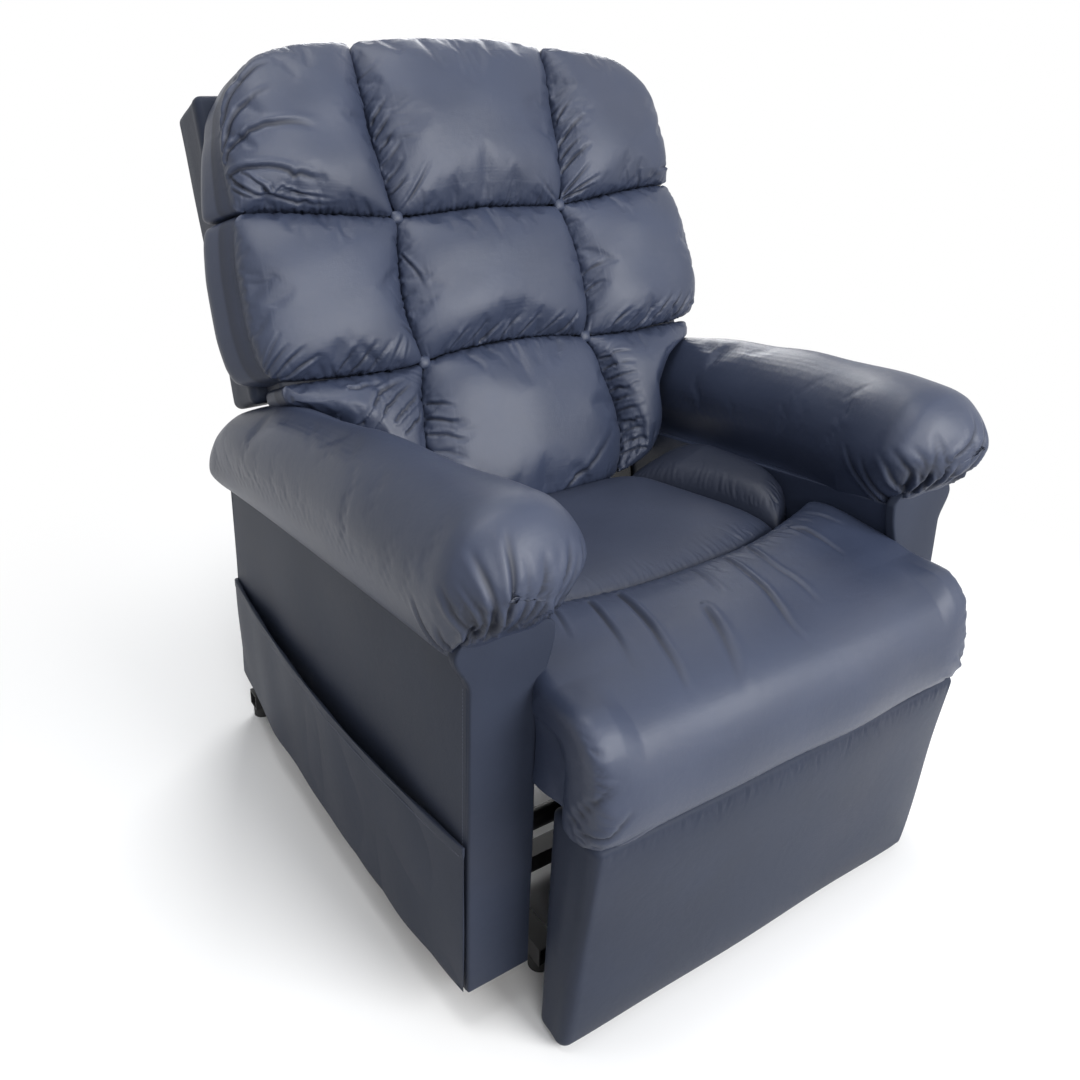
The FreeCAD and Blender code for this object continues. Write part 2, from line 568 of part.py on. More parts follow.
def bulge(depth, low, high):
    """A flat-backed lens outside the right arm, as deep as given at its middle."""
    ends = (BOARD, ARM_DEPTH - BOARD)
    a, b = Vector(-ARM_OUTER, ends[0], low), Vector(-ARM_OUTER, ends[1], low)
    top = Vector(-ARM_OUTER - depth, sum(ends) / 2, low)
    wire = Part.Wire([Part.Arc(a, top, b).toShape(), Part.LineSegment(b, a).toShape()])
    return Part.Face(wire).extrude(Vector(0, 0, high - low))


def side_pocket():
    """The pocket sewn on the right arm: a thin bowed panel with a floor, open at the top."""
    high = POCKET_FRONT_TOP + BOARD
    low = ARM_BOTTOM + 2
    bag = bulge(POCKET_DEEP + POCKET_SKIN, low, high).cut(bulge(POCKET_DEEP, low + POCKET_FLOOR, high))
    x0, x1 = -PAD_REACH, -ARM_OUTER + 1
    rim = [(0, POCKET_FRONT_TOP), (ARM_DEPTH, POCKET_REAR_TOP), (ARM_DEPTH, high + 1), (0, high + 1)]
    above = plate_x(rim, x0, x1)
    save("side_pocket", bag.cut(above))


def control_box():
    """The power supply under the rear rail and its mains inlet."""
    high = RAIL_TOP - RAIL_DEEP
    low = high - SUPPLY_TALL
    save("control_box", box(*SUPPLY_X, *SUPPLY_Y, low, high))
    inlet = Vector(SUPPLY_X[0] + INLET_PLACE[0], SUPPLY_Y[1], low + INLET_PLACE[1])
    save("inlet_socket", Part.makeCylinder(INLET_RADIUS, INLET_LENGTH, inlet, Vector(0, 1, 0)))


# ---- legrest -------------------------------------------------------------------------------------------
def vertical_arc(z0, y1, z1):
    """The arc that starts upright on the roll's front line at height z0 and ends at (y1, z1)."""
    dy, dz = y1 - ROLL_FRONT, z1 - z0
    radius = (dy * dy + dz * dz) / (2 * dy)
    sweep = math.asin(dz / radius)
    middle = (ROLL_FRONT + radius * (1 - math.cos(sweep / 2)), z0 + radius * math.sin(sweep / 2))
    return middle


def roll_wire(x, scale):
    """The outline of the roll at x, drawn in towards its rear when scale is under 1."""
    top_y, low_y, low_z = ROLL_CREST, LEGREST_FACE, LEGREST_TOP + SOFT_GAP
    marks = {"top": (top_y, ROLL_TOP), "upper": vertical_arc(ROLL_BELLY_Z, top_y, ROLL_TOP),
             "belly": (ROLL_FRONT, ROLL_BELLY_Z), "lower": vertical_arc(ROLL_BELLY_Z, low_y, low_z),
             "low": (low_y, low_z), "rear_low": (ROLL_REAR, low_z), "rear_top": (ROLL_REAR, ROLL_TOP - 3)}
    cy, cz = ROLL_REAR, ROLL_BELLY_Z - 20
    at = {name: Vector(x, cy + (y - cy) * scale, cz + (z - cz) * scale) for name, (y, z) in marks.items()}
    edges = [Part.Arc(at["top"], at["upper"], at["belly"]), Part.Arc(at["belly"], at["lower"], at["low"]),
             Part.LineSegment(at["low"], at["rear_low"]), Part.LineSegment(at["rear_low"], at["rear_top"]),
             Part.LineSegment(at["rear_top"], at["top"])]
    return Part.Wire([edge.toShape() for edge in edges])


def front_roll():
    """The soft roll over the legrest, notched for the hinge plates and the crank."""
    small = ROLL_END_SIZE
    full = ROLL_HALF - ROLL_END
    wires = [roll_wire(-ROLL_HALF, small), roll_wire(-full, 1.0), roll_wire(full, 1.0), roll_wire(ROLL_HALF, small)]
    roll = Part.makeLoft(wires, True, True)
    y, z = LEGREST_HINGE
    lane = EYE_WIDE / 2 + PLATE + 2
    cuts = [rod_x(-LEGREST_ARM_X - PLATE, LEGREST_ARM_X + PLATE, LEGREST_HINGE, HINGE_TUBE_RADIUS)]
    hinge = box(HINGE_PLATE_OUT - 2, LEGREST_ARM_X + PLATE + 1, y - LINK_RADIUS - 1, ROLL_REAR + 1,
                LEGREST_TOP, ROLL_TOP + 1)
    cuts += both_sides(hinge)
    cuts.append(rod_x(LEGREST_LANE - lane, LEGREST_LANE + lane, LEGREST_CRANK, CRANK_ROOM))
    cuts.append(box(LEGREST_LANE - lane, LEGREST_LANE + lane, y - CRANK_ROOM / 2, ROLL_REAR + 1,
                    CRANK_WELL, ROLL_TOP + 1))
    for cut in cuts:
        roll = roll.cut(cut)
    save("front_roll", roll)


def legrest():
    """Hinge tube, crank, hinge arms, board and cover."""
    reach = LEGREST_ARM_X
    save("legrest_hinge_tube", tube_x(-reach, reach, LEGREST_HINGE, HINGE_TUBE_RADIUS))
    inner = EYE_WIDE / 2 + SIDE_GAP
    lugs = [slot_plate(LEGREST_LANE + a, LEGREST_LANE + b, LEGREST_HINGE, LEGREST_CRANK, DRIVE_PIN + 4)
            for a, b in ((inner, inner + PLATE), (-inner - PLATE, -inner))]
    pin = rod_x(LEGREST_LANE - inner - PLATE, LEGREST_LANE + inner + PLATE, LEGREST_CRANK, DRIVE_PIN)
    crank = pin.multiFuse(lugs)
    crank = crank.cut(rod_x(-reach, reach, LEGREST_HINGE, HINGE_TUBE_RADIUS)).removeSplitter()
    save("legrest_crank", crank)
    y, z = LEGREST_HINGE
    rear = LEGREST_FACE + LEGREST_THICK
    boss = LINK_RADIUS - 2
    outline = [(y - boss, z), (y, z + boss), (y + boss, z), ARM_ELBOW, (rear + ARM_STEP, LEGREST_TOP - boss / 2),
               (rear + ARM_STEP, ARM_LOWER), (rear, ARM_LOWER - ARM_STEP / 2), (rear, LEGREST_TOP + 1),
               (LEGREST_FACE, LEGREST_TOP + ARM_STEP)]
    arm_plate = plate_x(outline, LEGREST_ARM_X, LEGREST_ARM_X + PLATE)
    save("legrest_hinge_arms", *both_sides(arm_plate))
    core = box(-LEGREST_HALF + COVER_SKIN, LEGREST_HALF - COVER_SKIN, LEGREST_FACE + COVER_SKIN, rear,
               LEGREST_BOTTOM + COVER_SKIN, LEGREST_TOP - COVER_SKIN)
    save("legrest_board", core)
    outer = box(-LEGREST_HALF, LEGREST_HALF, LEGREST_FACE, rear, LEGREST_BOTTOM, LEGREST_TOP)
    outer = rounded(outer, COVER_ROUND, lambda middle: middle.y > LEGREST_FACE + 1)
    save("legrest_cover", outer.cut(core))


# ---- back ----------------------------------------------------------------------------------------------
def puff(x0, x1, s0, s1):
    """One stuffed puff of the back: a block with all but its rear edges rounded."""
    block = back_box(x0, x1, s0, s1, PUFF_REAR, PUFF_CROWN)
    return leaned(rounded(block, PUFF_ROUND, lambda middle: abs(middle.y + PUFF_REAR) < 1))


def back_rows():
    """Three rows of puffs: a middle puff between two side puffs in each row."""
    gap = SOFT_GAP / 2
    rows = {"top": (ROW_SEAM_UPPER, BACK_TOP_MIDDLE, ROW_SEAM_UPPER, BACK_TOP_SIDE, WING_HALF),
            "middle": (ROW_SEAM_LOWER, ROW_SEAM_UPPER, SHOULDER_SEAM, ROW_SEAM_UPPER, WING_HALF),
            "bottom": (BACK_BOTTOM_MIDDLE, ROW_SEAM_LOWER, BACK_BOTTOM_SIDE, SHOULDER_SEAM, WAIST_HALF)}
    for name, (low, high, side_low, side_high, half) in rows.items():
        middle = puff(-BUTTON_X + gap, BUTTON_X - gap, low + gap, high - gap)
        side = puff(BUTTON_X + gap, half, side_low + gap, side_high - gap)
        save("back_row_" + name, middle, *both_sides(side))


def back_buttons():
    """Four covered buttons, each with a twine shank that runs back to the rails."""
    solids = []
    for s in (ROW_SEAM_UPPER, ROW_SEAM_LOWER):
        for x in (BUTTON_X, -BUTTON_X):
            head = Part.makeCylinder(BUTTON_RADIUS, BUTTON_THICK, Vector(x, 0, s), Vector(0, -1, 0))
            head = head.makeFillet(BUTTON_THICK / 3, [head.Edges[0]])
            shank = Part.makeCylinder(SHANK_RADIUS, -PUFF_REAR, Vector(x, 0, s), Vector(0, 1, 0))
            solids.append(leaned(head.fuse(shank).removeSplitter()))
    save("back_buttons", *solids)


def back_frame():
    """Posts, wing boards, rails, springs and the two shells of the rear cover."""
    wall = SHELL_WALL
    rail_front = SHELL_FRONT - RAIL_RELIEF
    rail_rear = rail_front - FRAME_BOARD
    inner_wide, inner_waist = SHELL_HALF - wall, SHELL_WAIST - wall
    top = SHELL_TOP - wall
    shoulder, bottom = SHELL_SHOULDER + wall, SHELL_BOTTOM + wall
    depth = BACK_RAIL
    post = back_box(inner_waist - POST_WIDE, inner_waist, bottom, top, rail_rear - POST_DEEP, rail_rear)
    wing = back_box(inner_wide - WING_BOARD, inner_wide, shoulder + depth, top - depth, rail_rear, rail_front)
    save("back_posts", *[leaned(s) for s in both_sides(post) + both_sides(wing)])
    rails = [back_box(-inner_wide, inner_wide, top - depth, top, rail_rear, rail_front),
             back_box(-inner_wide, inner_wide, shoulder, shoulder + depth, rail_rear, rail_front),
             back_box(-inner_waist, inner_waist, bottom, bottom + depth, rail_rear, rail_front)]
    save("back_rails", *[leaned(s) for s in rails])
    level = -(rail_front + rail_rear) / 2
    pitch = 2 * (inner_waist - POST_WIDE) / BACK_SPRINGS
    wires = []
    for number in range(BACK_SPRINGS):
        x = (number - (BACK_SPRINGS - 1) / 2) * pitch
        for low, high in ((shoulder + depth, top - depth), (bottom + depth, shoulder)):
            wire = zigzag(Vector(x, level, low), high - low, SPRING_SWING, SPRING_PITCH, SPRING_WIRE,
                          Vector(1, 0, 0), Vector(0, 0, 1))
            wires.append(leaned(wire))
    save("back_springs", *wires)
    hollow = back_box(-inner_wide, inner_wide, shoulder, top, SHELL_REAR + wall, SHELL_FRONT)
    hollow = hollow.fuse(back_box(-inner_waist, inner_waist, bottom, shoulder, SHELL_REAR + wall, SHELL_FRONT))
    upper = back_box(-SHELL_HALF, SHELL_HALF, SHELL_SHOULDER, SHELL_TOP, SHELL_REAR, SHELL_FRONT)
    save("back_outer_cover", leaned(upper.cut(hollow)))
    lower = back_box(-SHELL_WAIST, SHELL_WAIST, SHELL_BOTTOM, SHELL_SHOULDER, SHELL_REAR, SHELL_FRONT)
    save("back_lower_cover", leaned(lower.cut(hollow)))


def back_hinges():
    """The plates that carry the back on its pivot, and the crank tube between them."""
    x0, x1 = SHELL_WAIST, SHELL_WAIST + PLATE
    post = back_point(HINGE_POST, SHELL_FRONT - RAIL_RELIEF - FRAME_BOARD - POST_DEEP / 2)
    plate = slot_plate(x0, x1, BACK_PIVOT, RECLINE_HEAD, PLATE_EDGE)
    plate = plate.fuse(slot_plate(x0, x1, BACK_PIVOT, post, PLATE_EDGE)).removeSplitter()
    plate = plate.cut(rod_x(x0, x1, BACK_PIVOT, BACK_PIN_RADIUS + RUNNING_FIT))
    save("back_hinge_plates", *both_sides(plate))
    save("recline_crank_tube", tube_x(-x0, x0, RECLINE_HEAD, CRANK_TUBE))


# ---- drives --------------------------------------------------------------------------------------------
def placed_drive(shape, lane, foot, head):
    """Turn a drive made along +Z from its foot pin so that it points at its head pin."""
    angle = math.degrees(math.atan2(head[1] - foot[1], head[0] - foot[0]))
    moved = shape.copy()
    moved.Placement = Placement(Vector(lane, *foot), Rotation(Vector(1, 0, 0), angle - 90))
    return moved


def drive(name, lane, foot, head, stroke, pin, drift, motor_side=1, tube_end=None):
    """One linear actuator: a tube with its motor, and a rod with an oversize eye at the head pin.

    drift is how far the head pin wanders from the rod's own path over the travel: along it and across it.
    """
    length = math.hypot(head[0] - foot[0], head[1] - foot[1])
    shortest = min(length, length + stroke)
    half = EYE_WIDE / 2
    eye_radius = DRIVE_PIN + RUNNING_FIT + EYE_WALL
    tube_end = tube_end or shortest - ROD_RESERVE
    eye = rod_x(-half, half, (0, 0), eye_radius)
    neck = Part.makeCylinder(half, eye_radius + 12, Vector(0, 0, 0))
    tube = Part.makeCylinder(DRIVE_TUBE, tube_end - NECK_START, Vector(0, 0, NECK_START))
    motor_x = motor_side * (DRIVE_TUBE + MOTOR_RADIUS - TUBE_WALL)
    low = NECK_START + TUBE_WALL
    motor = Part.makeCylinder(MOTOR_RADIUS, MOTOR_LENGTH, Vector(motor_x, 0, low))
    gearbox = box(min(0, motor_x), max(0, motor_x), -DRIVE_TUBE, DRIVE_TUBE, low, low + GEARBOX_TALL)
    body = tube.multiFuse([eye, neck, motor, gearbox])
    body = body.cut(rod_x(-half - MOTOR_RADIUS, half + MOTOR_RADIUS, (0, 0), DRIVE_PIN + RUNNING_FIT))
    slack = max(stroke, 0.0)
    start = tube_end - ROD_GRIP - slack
    floor = start + min(stroke, 0.0) - BORE_REST
    bore = Part.makeCylinder(DRIVE_ROD + RUNNING_FIT, tube_end - floor, Vector(0, 0, floor))
    body = body.cut(bore).removeSplitter()
    save(name + "_actuator_tube", placed_drive(body, lane, foot, head))
    along, across = drift
    spread = math.hypot(along, across) / 2
    hole = pin + spread + 4 * RUNNING_FIT + SIDE_GAP
    centre = (-across / 2, length + along / 2)
    rod = Part.makeCylinder(DRIVE_ROD, length - start, Vector(0, 0, start))
    rod = rod.fuse(rod_x(-half, half, centre, hole + EYE_WALL))
    rod = rod.cut(rod_x(-half - DRIVE_ROD, half + DRIVE_ROD, centre, hole)).removeSplitter()
    save(name + "_actuator_rod", placed_drive(rod, lane, foot, head))


def drives():
    """The three actuators."""
    drive("lift", 0.0, LIFT_FOOT, LIFT_HEAD, LIFT_STROKE, DRIVE_PIN, LIFT_DRIFT)
    drive("recline", RECLINE_LANE, RECLINE_FOOT, RECLINE_HEAD, RECLINE_STROKE, CRANK_TUBE, RECLINE_DRIFT)
    drive("legrest", LEGREST_LANE, LEGREST_FOOT, LEGREST_CRANK, LEGREST_STROKE, DRIVE_PIN, LEGREST_DRIFT, -1,
          LEGREST_TUBE_LENGTH)


# ---- hand control --------------------------------------------------------------------------------------
def hand_control():
    """The case that stands in the pocket, and its three rocker keys."""
    y = ARM_DEPTH / 2
    z0 = ARM_BOTTOM + 2 + POCKET_FLOOR
    inner = -ARM_OUTER - CONTROL_GAP
    face = inner - CONTROL_THICK
    case = box(face, inner, y - CONTROL_WIDE / 2, y + CONTROL_WIDE / 2, z0, z0 + CONTROL_TALL)
    case = case.makeFillet(CASE_ROUND, case.Edges)
    first = z0 + CONTROL_TALL - FIRST_ROCKER
    for number, name in enumerate(("lift_rocker", "back_rocker", "legrest_rocker")):
        z = first - number * ROCKER_PITCH
        wide, tall = ROCKER_WIDE / 2 + ROCKER_GAP, ROCKER_TALL / 2 + ROCKER_GAP
        case = case.cut(box(face - 1, face + ROCKER_DEEP + 2, y - wide, y + wide, z - tall, z + tall))
        axis_x = face + ROCKER_DEEP / 2
        reach = wide + 2 * ROCKER_GAP
        hole = Part.makeCylinder(ROCKER_PIN + RUNNING_FIT, 2 * reach, Vector(axis_x, y - reach, z), Vector(0, 1, 0))
        case = case.cut(hole)
        save(name, rocker(face, y, z, axis_x, reach))
    save("hand_control_case", case)


def rocker(face, y, z, axis_x, reach):
    """A key with a shallow V on top and a pin through its middle."""
    half_y, half_z = ROCKER_WIDE / 2, ROCKER_TALL / 2
    proud = face - ROCKER_PROUD
    outline = [Vector(proud, y - half_y, z - half_z), Vector(proud + 1, y - half_y, z),
               Vector(proud, y - half_y, z + half_z), Vector(face + ROCKER_DEEP - 1, y - half_y, z + half_z - 1),
               Vector(face + ROCKER_DEEP, y - half_y, z), Vector(face + ROCKER_DEEP - 1, y - half_y, z - half_z + 1)]
    key = face_of(outline).extrude(Vector(0, ROCKER_WIDE, 0))
    tip = reach - ROCKER_GAP / 2
    pin = Part.makeCylinder(ROCKER_PIN, 2 * tip, Vector(axis_x, y - tip, z), Vector(0, 1, 0))
    return key.fuse(pin).removeSplitter()


def main():
    """Write every sub-part."""
    os.makedirs("parts", exist_ok=True)
    floor_base()
    links()
    chair_frame()
    springs()
    seat_cushion()
    for side in ("left", "right"):
        arm(side)
    side_pocket()
    control_box()
    front_roll()
    legrest()
    back_rows()
    back_buttons()
    back_frame()
    back_hinges()
    drives()
    hand_control()


main()
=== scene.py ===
"""Lift recliner chair: the upholstery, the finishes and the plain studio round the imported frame.

Sizes are in millimetres, measured from the arms' front faces (y = 0), the middle of the chair (x = 0) and the
floor (z = 0), as the chair maker's own drawing would be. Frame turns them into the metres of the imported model.
"""

import json
import logging
import math
from dataclasses import dataclass, field
from enum import Enum
from typing import Callable, Sequence

import bpy
import numpy as np
from mathutils import Matrix, Vector
from mathutils.bvhtree import BVHTree
from mathutils.kdtree import KDTree

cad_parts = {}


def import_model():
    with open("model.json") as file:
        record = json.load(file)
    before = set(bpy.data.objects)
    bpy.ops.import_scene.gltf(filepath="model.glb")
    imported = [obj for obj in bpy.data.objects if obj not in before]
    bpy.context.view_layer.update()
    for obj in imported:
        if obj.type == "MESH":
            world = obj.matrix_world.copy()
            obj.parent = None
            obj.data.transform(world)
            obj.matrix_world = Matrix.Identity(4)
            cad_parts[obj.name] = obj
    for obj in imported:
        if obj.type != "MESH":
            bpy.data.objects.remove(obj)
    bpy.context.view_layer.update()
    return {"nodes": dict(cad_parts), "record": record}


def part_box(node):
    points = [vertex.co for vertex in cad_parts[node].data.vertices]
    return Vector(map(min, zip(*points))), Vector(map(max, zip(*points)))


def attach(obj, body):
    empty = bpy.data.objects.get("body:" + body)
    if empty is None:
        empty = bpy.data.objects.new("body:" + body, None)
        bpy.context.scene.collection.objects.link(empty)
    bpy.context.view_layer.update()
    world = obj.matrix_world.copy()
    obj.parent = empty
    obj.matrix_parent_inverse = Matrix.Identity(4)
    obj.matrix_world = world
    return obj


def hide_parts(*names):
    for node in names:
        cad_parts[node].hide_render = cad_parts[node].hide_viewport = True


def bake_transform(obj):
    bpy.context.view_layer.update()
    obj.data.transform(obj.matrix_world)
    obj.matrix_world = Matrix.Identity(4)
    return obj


LOG = logging.getLogger("recliner")
Points = np.ndarray


# ---- frame ---------------------------------------------------------------------------------------------
@dataclass(frozen=True)
class Frame:
    """Turns the drawing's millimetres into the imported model's metres.

    Attributes:
        front: y of the arms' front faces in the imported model, in metres.
        lean: lean of the back at rest, in degrees from upright.
        root: y and z of the middle of the upper pair of buttons.
    """

    front: float
    lean: float = 22.0
    root: tuple[float, float] = (671.0, 941.0)

    def metres(self, points: Points) -> Points:
        """Millimetres of the drawing as metres of the model.

        Args:
            points: rows of x, y, z.

        Returns:
            The same rows in the model's frame.
        """
        return np.asarray(points, float) * 0.001 + np.array([0.0, self.front, 0.0])

    def back(self, across: Points, along: Points, out: Points) -> Points:
        """Points of the leaning back.

        Args:
            across: x.
            along: height along the back from the upper buttons.
            out: distance forward of the buttons.

        Returns:
            Rows of x, y, z in millimetres.
        """
        sin, cos = math.sin(math.radians(self.lean)), math.cos(math.radians(self.lean))
        y = self.root[0] + np.asarray(along) * sin - np.asarray(out) * cos
        z = self.root[1] + np.asarray(along) * cos + np.asarray(out) * sin
        return np.stack(np.broadcast_arrays(np.asarray(across, float), y, z), axis=-1)


# ---- meshes --------------------------------------------------------------------------------------------
@dataclass
class Skin:
    """A closed surface: rows of points in millimetres and faces of three or four corners.

    Attributes:
        points: rows of x, y, z.
        quads: rows of four corner numbers.
        tris: rows of three corner numbers.
        cube: where each point lies on the cube the surface was blown up from.
        fold: how much painted shade each point gets, from 0 to 1, deepest in folds and seams; it also makes the vinyl
            rougher there.
    """

    points: Points
    quads: Points
    tris: Points
    cube: Points
    fold: Points = field(default_factory=lambda: np.zeros(0))

    def triangles(self) -> Points:
        """Every face as triangles."""
        halves = np.vstack([self.quads[:, [0, 1, 2]], self.quads[:, [0, 2, 3]]])
        return np.vstack([halves, self.tris]) if len(self.tris) else halves

    def normals(self) -> Points:
        """A unit normal for each point, pointing outwards."""
        tri = self.triangles()
        a, b, c = (self.points[tri[:, k]] for k in range(3))
        cross = np.cross(b - a, c - a)
        total = np.zeros_like(self.points)
        for corner in range(3):
            for axis in range(3):
                total[:, axis] += np.bincount(tri[:, corner], cross[:, axis], len(total))
        return total / np.maximum(np.linalg.norm(total, axis=1, keepdims=True), 1e-9)

    def push(self, amount: Points) -> None:
        """Move each point along its normal by its own amount, in millimetres."""
        self.points = self.points + self.normals() * amount[:, None]

    def add_painted_shade(self, depth: Points | float) -> None:
        """Lay painted shade on each point, keeping the deepest amount given."""
        if len(self.fold) != len(self.points):
            self.fold = np.zeros(len(self.points))
        self.fold = np.maximum(self.fold, depth)

    def joined(self, other: "Skin") -> "Skin":
        """This surface and another in one.

        Args:
            other: the second surface.

        Returns:
            A surface with the points and faces of both.
        """
        shift = len(self.points)
        for skin in (self, other):
            if len(skin.fold) != len(skin.points):
                skin.fold = np.zeros(len(skin.points))
        return Skin(np.vstack([self.points, other.points]), np.vstack([self.quads, other.quads + shift]),
                    np.vstack([self.tris.reshape(-1, 3), other.tris.reshape(-1, 3) + shift]).astype(int),
                    np.vstack([self.cube, other.cube]), np.concatenate([self.fold, other.fold]))


def make_object(name: str, skin: Skin, frame: Frame) -> bpy.types.Object:
    """A smooth mesh object at the origin, with its painted shade kept as the fold attribute.

    Args:
        name: the object's name.
        skin: the surface.
        frame: turns millimetres into metres.

    Returns:
        The new object.
    """
    mesh = bpy.data.meshes.new(name)
    tris = skin.tris.reshape(-1, 3)
    corners = np.concatenate([skin.quads.ravel(), tris.ravel()]).astype(np.int32)
    sizes = np.concatenate([np.full(len(skin.quads), 4), np.full(len(tris), 3)]).astype(np.int32)
    starts = np.concatenate([[0], np.cumsum(sizes)[:-1]]).astype(np.int32)
    mesh.vertices.add(len(skin.points))
    mesh.vertices.foreach_set("co", frame.metres(skin.points).astype(np.float32).ravel())
    mesh.loops.add(len(corners))
    mesh.loops.foreach_set("vertex_index", corners)
    mesh.polygons.add(len(sizes))
    mesh.polygons.foreach_set("loop_start", starts)
    mesh.polygons.foreach_set("use_smooth", np.ones(len(sizes), bool))
    mesh.update(calc_edges=True)
    mesh.validate()
    fold = skin.fold if len(skin.fold) == len(skin.points) else np.zeros(len(skin.points))
    # the fold attribute carries the painted shade that the vinyl darkens by
    mesh.attributes.new("fold", "FLOAT", "POINT").data.foreach_set("value", fold.astype(np.float32))
    obj = bpy.data.objects.new(name, mesh)
    bpy.context.scene.collection.objects.link(obj)
    return obj


def even(cells: int) -> Points:
    """Evenly spaced grid lines from -1 to 1."""
    return np.linspace(-1, 1, max(2, cells) + 1)


def edged(half: float, radius: float, cell: float) -> Points:
    """Grid lines from -1 to 1 that crowd together at rounded edges.

    Args:
        half: half the size in millimetres.
        radius: of the rounding.
        cell: spacing between the roundings.

    Returns:
        The lines.
    """
    flat = 1 - min(radius, half * 0.98) / half
    inner = np.linspace(-flat, flat, max(2, int(round(2 * half * flat / cell))) + 1)
    edge = flat + (1 - flat) * np.array([0.25, 0.5, 0.75, 1.0])
    return np.concatenate([-edge[::-1], inner, edge])


def box_grid(x: Points, y: Points, z: Points, back_grid: bool = True) -> tuple[Points, Points, Points]:
    """The surface of a cube from -1 to 1, cut along the given lines and closed.

    Args:
        x: lines across.
        y: lines along.
        z: lines from back to front.
        back_grid: whether the back is cut into cells too, or closed by a fan.

    Returns:
        The points, the four-cornered faces and the three-cornered faces.
    """
    sides = [(x, y, lambda u, v: (u, v, np.ones_like(u))), (y, z, lambda u, v: (np.ones_like(u), u, v)),
             (z, y, lambda u, v: (-np.ones_like(u), v, u)), (z, x, lambda u, v: (v, np.ones_like(u), u)),
             (x, z, lambda u, v: (u, -np.ones_like(u), v))]
    if back_grid:
        sides.append((y, x, lambda u, v: (v, u, -np.ones_like(u))))
    points, quads, count = [], [], 0
    for first, second, spread in sides:
        u, v = np.meshgrid(first, second, indexing="ij")
        points.append(np.stack(spread(u, v), -1).reshape(-1, 3))
        number = np.arange(u.size).reshape(u.shape) + count
        quads.append(np.stack([number[:-1, :-1], number[1:, :-1], number[1:, 1:], number[:-1, 1:]], -1).reshape(-1, 4))
        count += u.size
    cloud = np.round(np.vstack(points), 7) + 0.0
    unique, back = np.unique(cloud, axis=0, return_inverse=True)
    faces = back.ravel()[np.vstack(quads)]
    tris = np.zeros((0, 3), int)
    if not back_grid:
        rim = [(a, -1.0) for a in x[:-1]] + [(1.0, b) for b in y[:-1]]
        rim += [(a, 1.0) for a in x[:0:-1]] + [(-1.0, b) for b in y[:0:-1]]
        find = {tuple(point): number for number, point in enumerate(unique)}
        loop = np.array([find[(round(float(a), 7) + 0.0, round(float(b), 7) + 0.0, -1.0)] for a, b in rim])
        unique = np.vstack([unique, [[0.0, 0.0, -1.0]]])
        tris = np.stack([np.roll(loop, -1), loop, np.full(len(loop), len(unique) - 1)], -1)
    return unique, faces, tris


def rounded(cube: Points, half: Points, radius: float) -> Points:
    """Turn the cube into a box with rounded edges.

    Args:
        cube: points on the cube.
        half: half sizes in millimetres.
        radius: of the edges.

    Returns:
        Points in millimetres from the middle of the box.
    """
    half = np.asarray(half, float)
    edge = np.minimum(radius, half * 0.98)
    spots = cube * half
    inner = np.clip(spots, -(half - edge), half - edge)
    away = (spots - inner) / edge
    return inner + away / np.maximum(np.linalg.norm(away, axis=1, keepdims=True), 1e-9) * edge


def squared(cube: Points, corner: float, front: float, rear: float) -> Points:
    """Blow the cube up into a cushion with rounded corners and rolled edges.

    Args:
        cube: points on the cube.
        corner: how square the corners of the outline are; 2 is a circle.
        front: how square the section is in front of the middle.
        rear: how square it is behind the middle.

    Returns:
        Points from -1 to 1 along each axis.
    """
    x, y, z = np.abs(cube).T
    outline = (x ** corner + y ** corner) ** (1 / corner)
    power = np.where(cube[:, 2] >= 0, front, rear)
    size = (outline ** power + z ** power) ** (1 / power)
    return cube / size[:, None]


def smooth(stations: Points, values: Points, at: Points) -> Points:
    """A smooth line through values at stations, without overshoot.

    Args:
        stations: growing numbers.
        values: one for each station.
        at: where to read the line.

    Returns:
        One value for each place.
    """
    span = np.diff(stations)
    rate = np.diff(values) / span
    before, after = rate[:-1], rate[1:]
    both = np.where(before + after == 0, 1, before + after)
    inner = np.where(before * after > 0, 2 * before * after / both, 0)
    slope = np.concatenate([[rate[0]], inner, [rate[-1]]])
    slot = np.clip(np.searchsorted(stations, at, side="right") - 1, 0, len(span) - 1)
    t = (at - stations[slot]) / span[slot]
    return ((2 * t ** 3 - 3 * t ** 2 + 1) * values[slot] + (t ** 3 - 2 * t ** 2 + t) * span[slot] * slope[slot]
            + (3 * t ** 2 - 2 * t ** 3) * values[slot + 1] + (t ** 3 - t ** 2) * span[slot] * slope[slot + 1])


def polyline(points: Sequence[tuple[float, float]], share: Points) -> Points:
    """Places on a smooth line through some points, at shares of its length.

    Args:
        points: rows of two or three numbers.
        share: from 0 at the first point to 1 at the last.

    Returns:
        One row for each share.
    """
    rows = np.asarray(points, float)
    steps = np.concatenate([[0], np.cumsum(np.linalg.norm(np.diff(rows, axis=0), axis=1))])
    fine = np.linspace(0, steps[-1], 240)
    curve = np.stack([smooth(steps, rows[:, k], fine) for k in range(rows.shape[1])], -1)
    at = np.clip(share, 0, 1) * steps[-1]
    return np.stack([np.interp(at, fine, curve[:, k]) for k in range(rows.shape[1])], -1)


